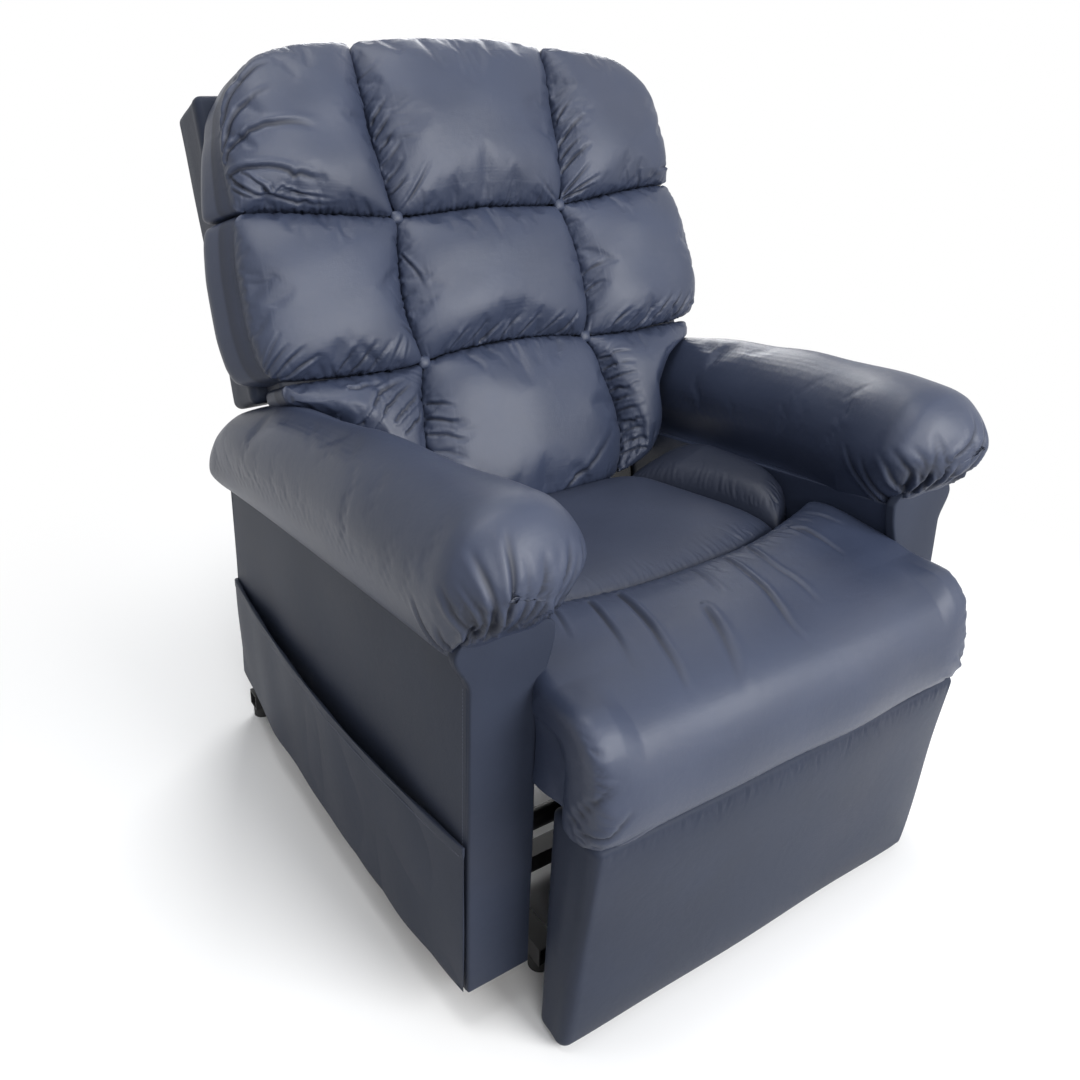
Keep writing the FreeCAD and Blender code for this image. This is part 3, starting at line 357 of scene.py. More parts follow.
@dataclass(frozen=True)
class Outline:
    """A four-sided outline with smooth, curved sides, in two numbers such as x and height.

    Attributes:
        left: points up the left side.
        right: points up the right side.
        bottom: points from left to right along the bottom.
        top: points from left to right along the top.
    """

    left: tuple[tuple[float, float], ...]
    right: tuple[tuple[float, float], ...]
    bottom: tuple[tuple[float, float], ...]
    top: tuple[tuple[float, float], ...]

    def at(self, a: Points, b: Points) -> Points:
        """Places inside the outline.

        Args:
            a: from -1 at the left to 1 at the right.
            b: from -1 at the bottom to 1 at the top.

        Returns:
            Rows of two numbers.
        """
        u, v = (np.asarray(a) + 1) / 2, (np.asarray(b) + 1) / 2
        left, right = polyline(self.left, v), polyline(self.right, v)
        low, high = polyline(self.bottom, u), polyline(self.top, u)
        u, v = u[:, None], v[:, None]
        corners = ((1 - u) * (1 - v) * self.bottom[0] + u * (1 - v) * np.array(self.bottom[-1])
                   + (1 - u) * v * self.top[0] + u * v * np.array(self.top[-1]))
        return (1 - u) * left + u * right + (1 - v) * low + v * high - corners

    def mirrored(self) -> "Outline":
        """The same outline on the other side of the chair."""
        flip = lambda side: tuple((-x, y) for x, y in side)
        return Outline(flip(self.right), flip(self.left), flip(self.bottom)[::-1], flip(self.top)[::-1])

    def shrunk(self, gap: float) -> "Outline":
        """The outline drawn in towards its middle by about a gap."""
        rows = np.vstack([self.left, self.right, self.bottom, self.top])
        low, high = rows.min(0), rows.max(0)
        middle, half = (low + high) / 2, (high - low) / 2
        draw = lambda side: tuple(tuple(middle + (np.array(p) - middle) * (1 - gap / half)) for p in side)
        return Outline(draw(self.left), draw(self.right), draw(self.bottom), draw(self.top))


# ---- folds ---------------------------------------------------------------------------------------------
@dataclass(frozen=True)
class Fold:
    """One fold or crease: a groove with a raised lip, strongest at its start.

    Attributes:
        path: rough points along it in millimetres.
        depth: depth at its start.
        width: half width of the groove.
        lip: height of the lip as a share of the depth; its sign says on which side it stands.
        fade: how soon the fold dies out towards its end; 0 keeps it to the end.
    """

    path: tuple[tuple[float, float, float], ...]
    depth: float = 3.0
    width: float = 3.0
    lip: float = 0.5
    fade: float = 1.0


class Drape:
    """Lays folds and soft waves on a surface."""

    def __init__(self, skin: Skin) -> None:
        """Keep the surface and a search tree over its faces."""
        self.skin = skin
        self.tree = BVHTree.FromPolygons(skin.points.tolist(), skin.triangles().tolist())

    def on_surface(self, path: Points) -> Points:
        """The points of the surface nearest to each point of a path."""
        return np.array([tuple(self.tree.find_nearest(Vector(p))[0]) for p in path])

    def lay(self, folds: Sequence[Fold]) -> None:
        """Press folds into the surface and paint shade into their grooves.

        Args:
            folds: the folds, whose rough paths are first drawn onto the surface.
        """
        skin = self.skin
        normals = skin.normals()
        push, deep = np.zeros(len(skin.points)), np.zeros(len(skin.points))
        for fold in folds:
            rough = np.asarray(fold.path, float)
            length = np.linalg.norm(np.diff(rough, axis=0), axis=1).sum()
            path = self.on_surface(polyline(fold.path, np.linspace(0, 1, max(4, int(length / 4) + 2))))
            reach = 4.5 * fold.width
            near = np.all((skin.points > path.min(0) - reach) & (skin.points < path.max(0) + reach), axis=1)
            rows = np.nonzero(near)[0]
            if not len(rows):
                continue
            spots, best = skin.points[rows], np.full(len(rows), 1e9)
            share, side = np.zeros(len(rows)), np.zeros(len(rows))
            total = len(path) - 1
            for number, (start, end) in enumerate(zip(path[:-1], path[1:])):
                step = end - start
                along = np.clip(((spots - start) @ step) / max(step @ step, 1e-9), 0, 1)
                away = spots - (start + along[:, None] * step)
                gap = np.linalg.norm(away, axis=1)
                closer = gap < best
                best = np.where(closer, gap, best)
                share = np.where(closer, (number + along) / total, share)
                turn = np.einsum("ij,ij->i", np.cross(np.broadcast_to(step, away.shape), away), normals[rows])
                side = np.where(closer, np.sign(turn), side)
            width = fold.width * (0.7 + 0.6 * share)
            dying = (1 - share) ** fold.fade * np.minimum(1, (1 - share) * 8)
            strength = fold.depth * dying * (0.55 + 0.45 * np.minimum(1, share * 6))
            groove = np.exp(-(best / width) ** 2)
            signed = best * side * np.sign(fold.lip)
            ridge = np.exp(-((signed - 1.9 * width) / (1.25 * width)) ** 2)
            push[rows] += strength * (abs(fold.lip) * ridge - groove)
            # painted shade in the groove, deepest along its middle
            deep[rows] = np.maximum(deep[rows], groove * np.minimum(1, strength / 3.0))
        skin.points = skin.points + normals * push[:, None]
        skin.add_painted_shade(deep)

    def wave(self, seed: int, height: float, length: float, where: Points | float = 1.0) -> None:
        """Add soft, irregular swells.

        Args:
            seed: picks the pattern.
            height: about how high they are.
            length: about how far apart they are.
            where: a share for each point.
        """
        rng = np.random.default_rng(seed)
        swell = np.zeros(len(self.skin.points))
        for _ in range(9):
            direction = rng.normal(size=3)
            direction *= 2 * math.pi / (length * rng.uniform(0.7, 1.6)) / np.linalg.norm(direction)
            swell += np.sin(self.skin.points @ direction + rng.uniform(0, 6.28))
        self.skin.push(swell * height / 3 * where)


def gathers(seed: int, seam: Points, inward: Points, rise: Points, spacing: float, length: tuple[float, float],
            slant: float, depth: float, width: float) -> list[Fold]:
    """A row of small folds that start at a seam.

    Args:
        seed: picks their places.
        seam: points along the seam.
        inward: which way each fold runs from there.
        rise: the outward direction of the cushion there.
        spacing: about how far apart they are.
        length: shortest and longest.
        slant: how far they lean along the seam, as a share of their length.
        depth: of the deepest.
        width: half width of the grooves.

    Returns:
        The folds.
    """
    rng = np.random.default_rng(seed)
    steps = np.concatenate([[0], np.cumsum(np.linalg.norm(np.diff(seam, axis=0), axis=1))])
    folds, at = [], spacing * rng.uniform(0.3, 1.0)
    while at < steps[-1] - spacing * 0.3:
        pick = lambda rows: np.array([np.interp(at, steps, rows[:, k]) for k in range(3)])
        start, way, out = pick(seam), pick(inward), pick(rise)
        way, out = way / np.linalg.norm(way), out / np.linalg.norm(out)
        sideways = np.cross(out, way)
        reach = rng.uniform(*length) * rng.choice([0.55, 1.0, 1.0, 1.35])
        lean = slant + rng.normal() * 0.22
        bend = rng.normal() * 0.12
        path = [tuple(start + way * reach * t + sideways * reach * (lean * t + bend * t * t)
                      + out * min(reach * t * 1.3, 34.0)) for t in (0.0, 0.3, 0.65, 1.0)]
        folds.append(Fold(tuple(path), depth * rng.uniform(0.45, 1.0), width * rng.uniform(0.75, 1.35),
                          rng.choice([-1, 1]) * rng.uniform(0.3, 0.65), rng.uniform(0.8, 1.5)))
        at += spacing * rng.uniform(0.6, 1.5)
    return folds


# ---- cloth ---------------------------------------------------------------------------------------------
@dataclass(frozen=True)
class Settle:
    """Lets a cover swell over its filling as cloth, held along its seams.

    Attributes:
        pressure: how hard the filling pushes.
        slack: how much larger the cover is cut than its filling.
        cap: how far any point may move, in millimetres.
        frames: how many steps the cloth takes.
    """

    pressure: float = 4.0
    slack: float = 0.04
    cap: float = 22.0
    frames: int = 18

    def run(self, name: str, coarse: Skin, held: Points, frame: Frame) -> Points:
        """Settle a coarse copy of a cover.

        Args:
            name: the piece's name.
            coarse: its surface in large cells.
            held: for each point, 1 where it is sewn down and 0 where it is free.
            frame: turns millimetres into metres.

        Returns:
            How far each point of the copy moved, in millimetres.
        """
        obj = make_object(name + "_cloth", coarse, frame)
        group = obj.vertex_groups.new(name="sewn")
        for level in np.unique(np.round(held, 1)):
            rows = np.nonzero(np.round(held, 1) == level)[0].tolist()
            if level > 0:
                group.add(rows, float(level), "REPLACE")
        cloth = obj.modifiers.new("cloth", "CLOTH")
        stiffness = {"tension_stiffness": 20, "compression_stiffness": 20, "shear_stiffness": 8,
                     "bending_stiffness": 0.6}
        sewn = {"vertex_group_mass": "sewn", "shrink_min": -self.slack}
        filling = {"use_pressure": True, "uniform_pressure_force": self.pressure}
        for key, setting in {"quality": 6, "mass": 0.4, **stiffness, **sewn, **filling}.items():
            setattr(cloth.settings, key, setting)
        cloth.settings.effector_weights.gravity = 0
        cloth.point_cache.frame_start, cloth.point_cache.frame_end = 1, self.frames
        scene = bpy.context.scene
        for number in range(1, self.frames + 1):
            scene.frame_set(number)
        shape = obj.evaluated_get(bpy.context.evaluated_depsgraph_get()).to_mesh()
        after = np.zeros(len(shape.vertices) * 3, np.float32)
        shape.vertices.foreach_get("co", after)
        move = (after.reshape(-1, 3) - frame.metres(coarse.points)) * 1000
        scene.frame_set(1)
        bpy.data.objects.remove(obj)
        far = np.linalg.norm(move, axis=1, keepdims=True)
        return move * (self.cap * np.tanh(far / self.cap) / np.maximum(far, 1e-6))


def carry(coarse: Skin, move: Points, fine: Skin) -> None:
    """Give a fine surface the movement of its coarse copy.

    Args:
        coarse: the copy before it moved.
        move: how far each of its points moved.
        fine: the surface to change.
    """
    tree = KDTree(len(coarse.points))
    for number, point in enumerate(coarse.points):
        tree.insert(point, number)
    tree.balance()
    result = np.zeros_like(fine.points)
    for row, point in enumerate(fine.points):
        found = tree.find_n(point, 5)
        weights = np.array([1 / (distance * distance + 6.0) for _, _, distance in found])
        result[row] = weights @ move[[number for _, number, _ in found]] / weights.sum()
    fine.points = fine.points + result


# ---- shader building -----------------------------------------------------------------------------------
class Value:
    """A number that varies over a surface; sums and products on it become nodes."""

    def __init__(self, paint: "Paint", socket: bpy.types.NodeSocket) -> None:
        """Wrap an output socket."""
        self.paint, self.socket = paint, socket

    def _math(self, operation: str, *terms: "Value | float") -> "Value":
        """Add one Math node."""
        return self.paint.add("ShaderNodeMath", {"operation": operation}, dict(enumerate(terms))).value()

    def __add__(self, other: "Value | float") -> "Value":
        """Sum."""
        return self._math("ADD", self, other)

    __radd__ = __add__

    def __mul__(self, other: "Value | float") -> "Value":
        """Product."""
        return self._math("MULTIPLY", self, other)

    __rmul__ = __mul__

    def band(self, low: float, high: float) -> "Value":
        """Zero below low, one above high and smooth between."""
        node = self.paint.add("ShaderNodeMapRange", {"interpolation_type": "SMOOTHSTEP"},
                              {"Value": self, "From Min": low, "From Max": high})
        return node.value()


class Step:
    """One node of a material."""

    def __init__(self, paint: "Paint", node: bpy.types.Node) -> None:
        """Wrap a node."""
        self.paint, self.node = paint, node

    def value(self, output: int | str = 0) -> Value:
        """One of its outputs as a number."""
        return Value(self.paint, self.node.outputs[output])

    def out(self, output: int | str = 0) -> bpy.types.NodeSocket:
        """One of its outputs."""
        return self.node.outputs[output]


class Paint:
    """A material and its nodes."""

    def __init__(self, name: str) -> None:
        """Start an empty material with a Principled shader."""
        self.material = bpy.data.materials.new(name)
        self.material.use_nodes = True
        self.tree = self.material.node_tree
        self.tree.nodes.clear()
        self.output = self.add("ShaderNodeOutputMaterial", {}, {})
        self.shader = self.add("ShaderNodeBsdfPrincipled", {}, {})
        self.link(self.shader.out(), self.output.node.inputs["Surface"])
        self.place = self.add("ShaderNodeTexCoord", {}, {}).out("Object")

    def link(self, start: bpy.types.NodeSocket, end: bpy.types.NodeSocket) -> None:
        """Join two sockets."""
        self.tree.links.new(start, end)

    def feed(self, socket: bpy.types.NodeSocket, source: object) -> None:
        """Link a socket to its source, or set its own value.

        Args:
            socket: the input socket.
            source: a number, a colour, or something to link.
        """
        if isinstance(source, Value):
            source = source.socket
        elif isinstance(source, Step):
            source = source.out()
        if isinstance(source, bpy.types.NodeSocket):
            self.link(source, socket)
        elif isinstance(source, tuple) and socket.type == "RGBA" and len(source) == 3:
            socket.default_value = (*source, 1.0)
        else:
            socket.default_value = source

    def add(self, kind: str, settings: dict, inputs: dict) -> Step:
        """Add a node.

        Args:
            kind: the node's type.
            settings: its own settings, set first.
            inputs: a value or link for each input socket.

        Returns:
            The node.
        """
        node = self.tree.nodes.new(kind)
        for key, setting in settings.items():
            setattr(node, key, setting)
        for key, source in inputs.items():
            self.feed(node.inputs[key], source)
        return Step(self, node)

    def noise(self, scale: float, detail: float = 2.0, rough: float = 0.5, stretch: tuple | None = None) -> Value:
        """Cloudy noise over the object's own coordinates."""
        place = self.place
        if stretch:
            place = self.add("ShaderNodeMapping", {}, {"Vector": self.place, "Scale": stretch}).out()
        return self.add("ShaderNodeTexNoise", {}, {"Vector": place, "Scale": scale, "Detail": detail,
                                                   "Roughness": rough}).value("Fac")

    def cells(self, scale: float) -> Value:
        """Pebbly cells over the object's own coordinates."""
        return self.add("ShaderNodeTexVoronoi", {"feature": "DISTANCE_TO_EDGE"},
                        {"Vector": self.place, "Scale": scale}).value("Distance")

    def mix(self, share: Value | float, first: object, second: object) -> bpy.types.NodeSocket:
        """Blend two colours."""
        node = self.add("ShaderNodeMix", {"data_type": "RGBA"}, {0: share, 6: first, 7: second})
        return node.out(2)

    def attribute(self, name: str) -> Value:
        """A number kept on the mesh."""
        return self.add("ShaderNodeAttribute", {"attribute_name": name}, {}).value("Fac")

    def bump(self, height: Value, strength: float, distance: float, below: Step | None = None) -> Step:
        """A bump node, over another one if given."""
        inputs = {"Height": height, "Strength": strength, "Distance": distance}
        if below:
            inputs["Normal"] = below
        return self.add("ShaderNodeBump", {}, inputs)

    def set(self, **sockets: object) -> None:
        """Set or link the shader's own sockets."""
        for key, source in sockets.items():
            self.feed(self.shader.node.inputs[key.replace("_", " ")], source)


Colour = tuple[float, float, float]


@dataclass(frozen=True)
class Vinyl:
    """Soft grained upholstery vinyl.

    Attributes:
        name: of the material.
        tone: its colour in even light.
        shade: painted shade, the colour it is darkened to deep in folds and seams and wherever the fold attribute lays
            shade.
        gloss: roughness of its smooth parts.
        grain: size of its pebbles in metres.
        lift: strength of the grain.
        shine: strength of its highlights.
        worn: its colour where it is rubbed.
    """

    name: str
    tone: Colour = (0.033, 0.043, 0.077)
    shade: Colour = (0.008, 0.010, 0.018)
    gloss: float = 0.40
    grain: float = 0.0016
    lift: float = 0.30
    shine: float = 0.42
    worn: Colour = (0.055, 0.058, 0.078)

    def make(self) -> bpy.types.Material:
        """The material."""
        paint = Paint(self.name)
        fold = paint.attribute("fold")
        cloud = paint.noise(7.0, 4.0, 0.55)
        speck = paint.noise(520.0, 2.0, 0.6)
        tone = paint.mix(cloud.band(0.3, 0.7) * 0.5 + speck * 0.3, tuple(c * 0.86 for c in self.tone),
                         tuple(c * 1.14 for c in self.tone))
        rubbed = paint.mix(paint.noise(2.6, 3.0).band(0.52, 0.75) * 0.35, tone, self.worn)
        # painted shade: the colour darkens towards the shade colour where the fold attribute lays shade
        deep = paint.mix(fold.band(0.1, 1.0) * 0.75, rubbed, self.shade)
        pebbles = paint.cells(1 / self.grain)
        crackle = paint.noise(0.35 / self.grain, 3.0, 0.65)
        fine = paint.bump(pebbles.band(0.0, 0.12) * 0.7 + crackle * 0.6, self.lift, 0.00035)
        creased = paint.bump(paint.noise(60.0, 4.0, 0.6), 0.12, 0.004, fine)
        paint.set(Base_Color=deep, Roughness=cloud * 0.08 + speck * 0.05 + fold * 0.15 + (self.gloss - 0.06),
                  Normal=creased, Specular_IOR_Level=self.shine)
        return paint.material


@dataclass(frozen=True)
class Metal:
    """Painted, plated or bare steel.

    Attributes:
        name: of the material.
        tone: its colour.
        metallic: 1 for bare metal and 0 for paint.
        gloss: roughness.
        texture: size of the marks in its surface, in metres.
        worn: how much of it shows wear.
    """

    name: str
    tone: Colour
    metallic: float
    gloss: float
    texture: float = 0.0015
    worn: float = 0.3

    def make(self) -> bpy.types.Material:
        """The material."""
        paint = Paint(self.name)
        cloud = paint.noise(16.0, 4.0, 0.6)
        speck = paint.noise(1 / self.texture, 3.0, 0.6)
        dull = tuple(c * 0.7 for c in self.tone)
        colour = paint.mix(cloud.band(0.35, 0.7) * self.worn, self.tone, dull)
        paint.set(Base_Color=colour, Metallic=self.metallic, Roughness=speck * 0.12 + cloud * 0.08 + self.gloss,
                  Normal=paint.bump(speck, 0.15, 0.0004))
        return paint.material


@dataclass(frozen=True)
class Moulded:
    """Moulded plastic or rubber with a fine spark texture.

    Attributes:
        name: of the material.
        tone: its colour.
        gloss: roughness.
        spark: size of its texture in metres.
    """

    name: str
    tone: Colour
    gloss: float
    spark: float = 0.0009

    def make(self) -> bpy.types.Material:
        """The material."""
        paint = Paint(self.name)
        speck = paint.noise(1 / self.spark, 2.0, 0.7)
        cloud = paint.noise(22.0, 3.0)
        colour = paint.mix(cloud.band(0.3, 0.75) * 0.6, self.tone, tuple(c * 1.35 + 0.004 for c in self.tone))
        paint.set(Base_Color=colour, Roughness=speck * 0.15 + self.gloss, Normal=paint.bump(speck, 0.22, 0.0003))
        return paint.material


@dataclass(frozen=True)
class Timber:
    """Plain sawn softwood.

    Attributes:
        name: of the material.
        early: colour of the spring wood.
        late: colour of the rings.
    """

    name: str
    early: Colour = (0.52, 0.36, 0.20)
    late: Colour = (0.33, 0.20, 0.10)

    def make(self) -> bpy.types.Material:
        """The material."""
        paint = Paint(self.name)
        rings = paint.noise(24.0, 4.0, 0.6, (0.15, 1.0, 1.0))
        pores = paint.noise(420.0, 2.0, 0.6, (0.05, 1.0, 1.0))
        colour = paint.mix(rings.band(0.4, 0.6) * 0.8 + pores * 0.2, self.early, self.late)
        paint.set(Base_Color=colour, Roughness=pores * 0.15 + 0.6, Normal=paint.bump(pores + rings, 0.25, 0.0006))
        return paint.material


@dataclass(frozen=True)
class Thread:
    """Twisted sewing thread.

    Attributes:
        name: of the material.
        tone: its colour.
    """

    name: str
    tone: Colour = (0.135, 0.150, 0.205)

    def make(self) -> bpy.types.Material:
        """The material."""
        paint = Paint(self.name)
        twist = paint.noise(1400.0, 2.0, 0.5)
        colour = paint.mix(twist, tuple(c * 0.7 for c in self.tone), tuple(c * 1.3 for c in self.tone))
        paint.set(Base_Color=colour, Roughness=0.62 + twist * 0.1, Normal=paint.bump(twist, 0.4, 0.0003))
        return paint.material


class Finish(Enum):
    """The record's material slots and the maker of each."""

    VINYL_PADDED = "vinyl_padded"
    VINYL_PANEL = "vinyl_panel"
    FRAME_STEEL = "frame_steel"
    PIN_STEEL = "pin_steel"
    SPRING_WIRE = "spring_wire"
    ROD_CHROME = "rod_chrome"
    DRIVE_PLASTIC = "drive_plastic"
    KEY_PLASTIC = "key_plastic"
    GLIDE_RUBBER = "glide_rubber"
    FRAME_WOOD = "frame_wood"
    THREAD = "thread"

    def recipe(self) -> object:
        """The sizes and colours of this finish."""
        return {
            Finish.VINYL_PADDED: Vinyl("vinyl_padded"),
            Finish.VINYL_PANEL: Vinyl("vinyl_panel", tone=(0.030, 0.037, 0.059), gloss=0.45, lift=0.36, shine=0.12),
            Finish.FRAME_STEEL: Metal("frame_steel", (0.018, 0.018, 0.020), 0.0, 0.36),
            Finish.PIN_STEEL: Metal("pin_steel", (0.52, 0.51, 0.49), 1.0, 0.30),
            Finish.SPRING_WIRE: Metal("spring_wire", (0.20, 0.19, 0.18), 1.0, 0.42),
            Finish.ROD_CHROME: Metal("rod_chrome", (0.66, 0.66, 0.67), 1.0, 0.12, worn=0.1),
            Finish.DRIVE_PLASTIC: Moulded("drive_plastic", (0.018, 0.018, 0.019), 0.48),
            Finish.KEY_PLASTIC: Moulded("key_plastic", (0.10, 0.11, 0.13), 0.42),
            Finish.GLIDE_RUBBER: Moulded("glide_rubber", (0.015, 0.015, 0.015), 0.66, 0.0014),
            Finish.FRAME_WOOD: Timber("frame_wood"),
            Finish.THREAD: Thread("thread"),
        }[self]


@dataclass(frozen=True)
class Creases:
    """The long creases of the covers.

    Attributes:
        frame: places the ones of the back, which are given by x and height along the back.
        back: for each puff, rows of depth, half width and lip, then the x and height of each point.
        body: the same for the other pieces, with the x, y and z of each point.
    """

    frame: Frame
    back: dict = field(default_factory=lambda: {
        "puff_top_right": (
            (6, 4.2, 0.6, -428, 160, -421, 181, -408, 204, -387, 225, -364, 247, -335, 257),
            (6, 4, 0.6, -434, 126, -431, 138, -418, 159, -394, 182, -372, 196, -346, 205),
            (6.5, 4.4, 0.6, -436, 108, -411, 129, -372, 145, -330, 148, -287, 138),
            (6, 4.4, 0.6, -438, 80, -415, 87, -381, 88, -340, 76, -283, 58),
            (3.5, 3, 0.5, -405, 190, -404, 215, -396, 235), (4.5, 3, 0.5, -431, 81, -410, 55, -387, 37, -356, 21),
            (4.5, 3, 0.5, -406, 83, -383, 58, -353, 35, -306, 17, -256, 10),
            (4, 2.6, 0.5, -433, 62, -415, 44, -396, 32), (4, 2.6, -0.5, -425, 72, -400, 46, -372, 29),
            (3.6, 2.6, 0.5, -398, 74, -370, 50, -335, 30), (3.6, 2.4, -0.5, -385, 76, -350, 50, -318, 34),
            (3.4, 2.4, 0.5, -366, 70, -332, 48, -296, 28), (3, 2.4, 0.5, -345, 62, -308, 42, -272, 24)),
        "puff_top_middle": (
            (5, 3, 0.6, -185, 158, -170, 176, -156, 196), (5, 3, 0.6, -184, 132, -168, 150, -150, 174),
            (5, 2.8, -0.6, -183, 108, -168, 124, -152, 144), (5, 3, 0.6, -181, 84, -164, 100, -144, 124),
            (4.5, 2.8, 0.6, -178, 60, -160, 78, -146, 96), (4.5, 2.6, -0.6, -174, 38, -158, 52, -146, 68),
            (4.5, 3, 0.6, -166, 6, -140, 34, -118, 62, -98, 92), (3, 3.2, 0.6, 160, 8, 130, 30, 104, 58)),
        "puff_top_left": (
            (5.5, 3.2, 0.6, 178, 60, 206, 84, 238, 104), (5.5, 3.2, 0.6, 184, 108, 206, 134, 242, 160),
            (4.5, 2.8, -0.6, 182, 84, 202, 104, 224, 120), (5, 3, 0.6, 170, 10, 202, 18, 240, 24),
            (5, 3, 0.6, 172, 12, 206, 30, 250, 48), (5, 3, 0.6, 174, 20, 200, 44, 230, 72),
            (4, 2.8, -0.6, 186, 150, 204, 176, 226, 198), (4, 2.6, 0.6, 434, 60, 412, 56, 392, 48)),
        "puff_middle_right": (
            (5, 3, 0.6, -438, -222, -426, -206, -398, -180), (5, 3, 0.6, -424, -226, -404, -206, -372, -186),
            (5, 3, -0.6, -408, -230, -384, -214, -350, -202), (4, 2.6, 0.6, -434, -206, -424, -184, -408, -160),
            (4.5, 3.2, 0.6, -330, -236, -312, -214, -290, -196), (4.5, 3.2, 0.6, -302, -238, -280, -212, -256, -192),
            (4.5, 3, -0.6, -276, -240, -254, -214, -232, -196), (4.5, 3.2, 0.6, -250, -240, -228, -212, -204, -190),
            (4.5, 3, 0.6, -224, -240, -206, -214, -190, -198), (4, 2.6, -0.6, -176, -200, -196, -184, -214, -174)),
        "puff_middle_middle": (
            (5, 3.2, 0.6, -120, -229, -104, -208, -82, -190), (5, 3.2, 0.6, -90, -227, -68, -202, -44, -184),
            (5, 3, -0.6, -58, -226, -38, -204, -16, -190), (5, 3.2, 0.6, -24, -225, 2, -198, 26, -180),
            (5, 3, 0.6, 16, -225, 38, -202, 62, -186), (4.5, 3, 0.6, 60, -228, 86, -204, 112, -192),
            (4.5, 3, -0.6, 104, -230, 126, -208, 146, -198), (4, 3, 0.6, -174, -60, -162, -90, -156, -128)),
        "puff_middle_left": (
            (5.5, 3.4, 0.6, 182, -128, 202, -118, 226, -112), (5.5, 3.4, 0.6, 205, -241, 232, -216, 262, -198),
            (5.5, 3.4, 0.6, 238, -242, 264, -214, 296, -194), (5.5, 3.4, -0.6, 272, -242, 298, -212, 330, -190),
            (5.5, 3.4, 0.6, 306, -240, 332, -208, 362, -186), (5.5, 3.4, 0.6, 340, -239, 364, -206, 390, -184),
            (5, 3.2, -0.6, 370, -237, 390, -208, 412, -190), (5, 3, 0.6, 396, -234, 412, -206, 424, -184),
            (4.5, 2.8, 0.6, 432, -200, 414, -212, 398, -222), (4, 2.8, 0.6, 179, -160, 196, -150, 214, -148)),
        "puff_bottom_right": (
            (6, 3.6, 0.6, -298, -312, -260, -280, -215, -250), (6, 3.4, 0.6, -282, -320, -240, -290, -197, -262),
            (6, 3.4, -0.6, -262, -328, -226, -304, -187, -282), (5, 3.2, 0.6, -318, -286, -292, -268, -262, -250),
            (5, 3, 0.6, -250, -348, -220, -326, -190, -308), (4.5, 3, 0.6, -240, -380, -216, -360, -196, -348)),
        "puff_bottom_middle": (
            (5, 3.2, 0.6, -193, -330, -166, -338, -138, -352), (5, 3.2, 0.6, -196, -356, -166, -364, -130, -382),
            (5, 3, -0.6, -199, -382, -168, -392, -136, -410), (5, 3.2, 0.6, -200, -408, -166, -418, -128, -438),
            (5, 3, 0.6, -198, -434, -170, -446, -142, -462), (4.5, 3, 0.6, -186, -306, -162, -312, -140, -322),
            (4.5, 2.8, -0.6, -190, -458, -166, -470, -146, -482), (4, 6, 0.5, 40, -486, 104, -452, 176, -404)),
        "puff_bottom_left": tuple(
            (5, 2.8, lip, 182 + k, at, 212 + k, at + 5, 242, at + 2) for at, k, lip in
            ((-286, 0, 0.6), (-306, 5, -0.6), (-326, 9, 0.6), (-346, 13, 0.6), (-366, 16, -0.6), (-386, 17, 0.6),
             (-406, 17, 0.6), (-426, 16, -0.6), (-446, 13, 0.6), (-464, 8, 0.6))),
    })
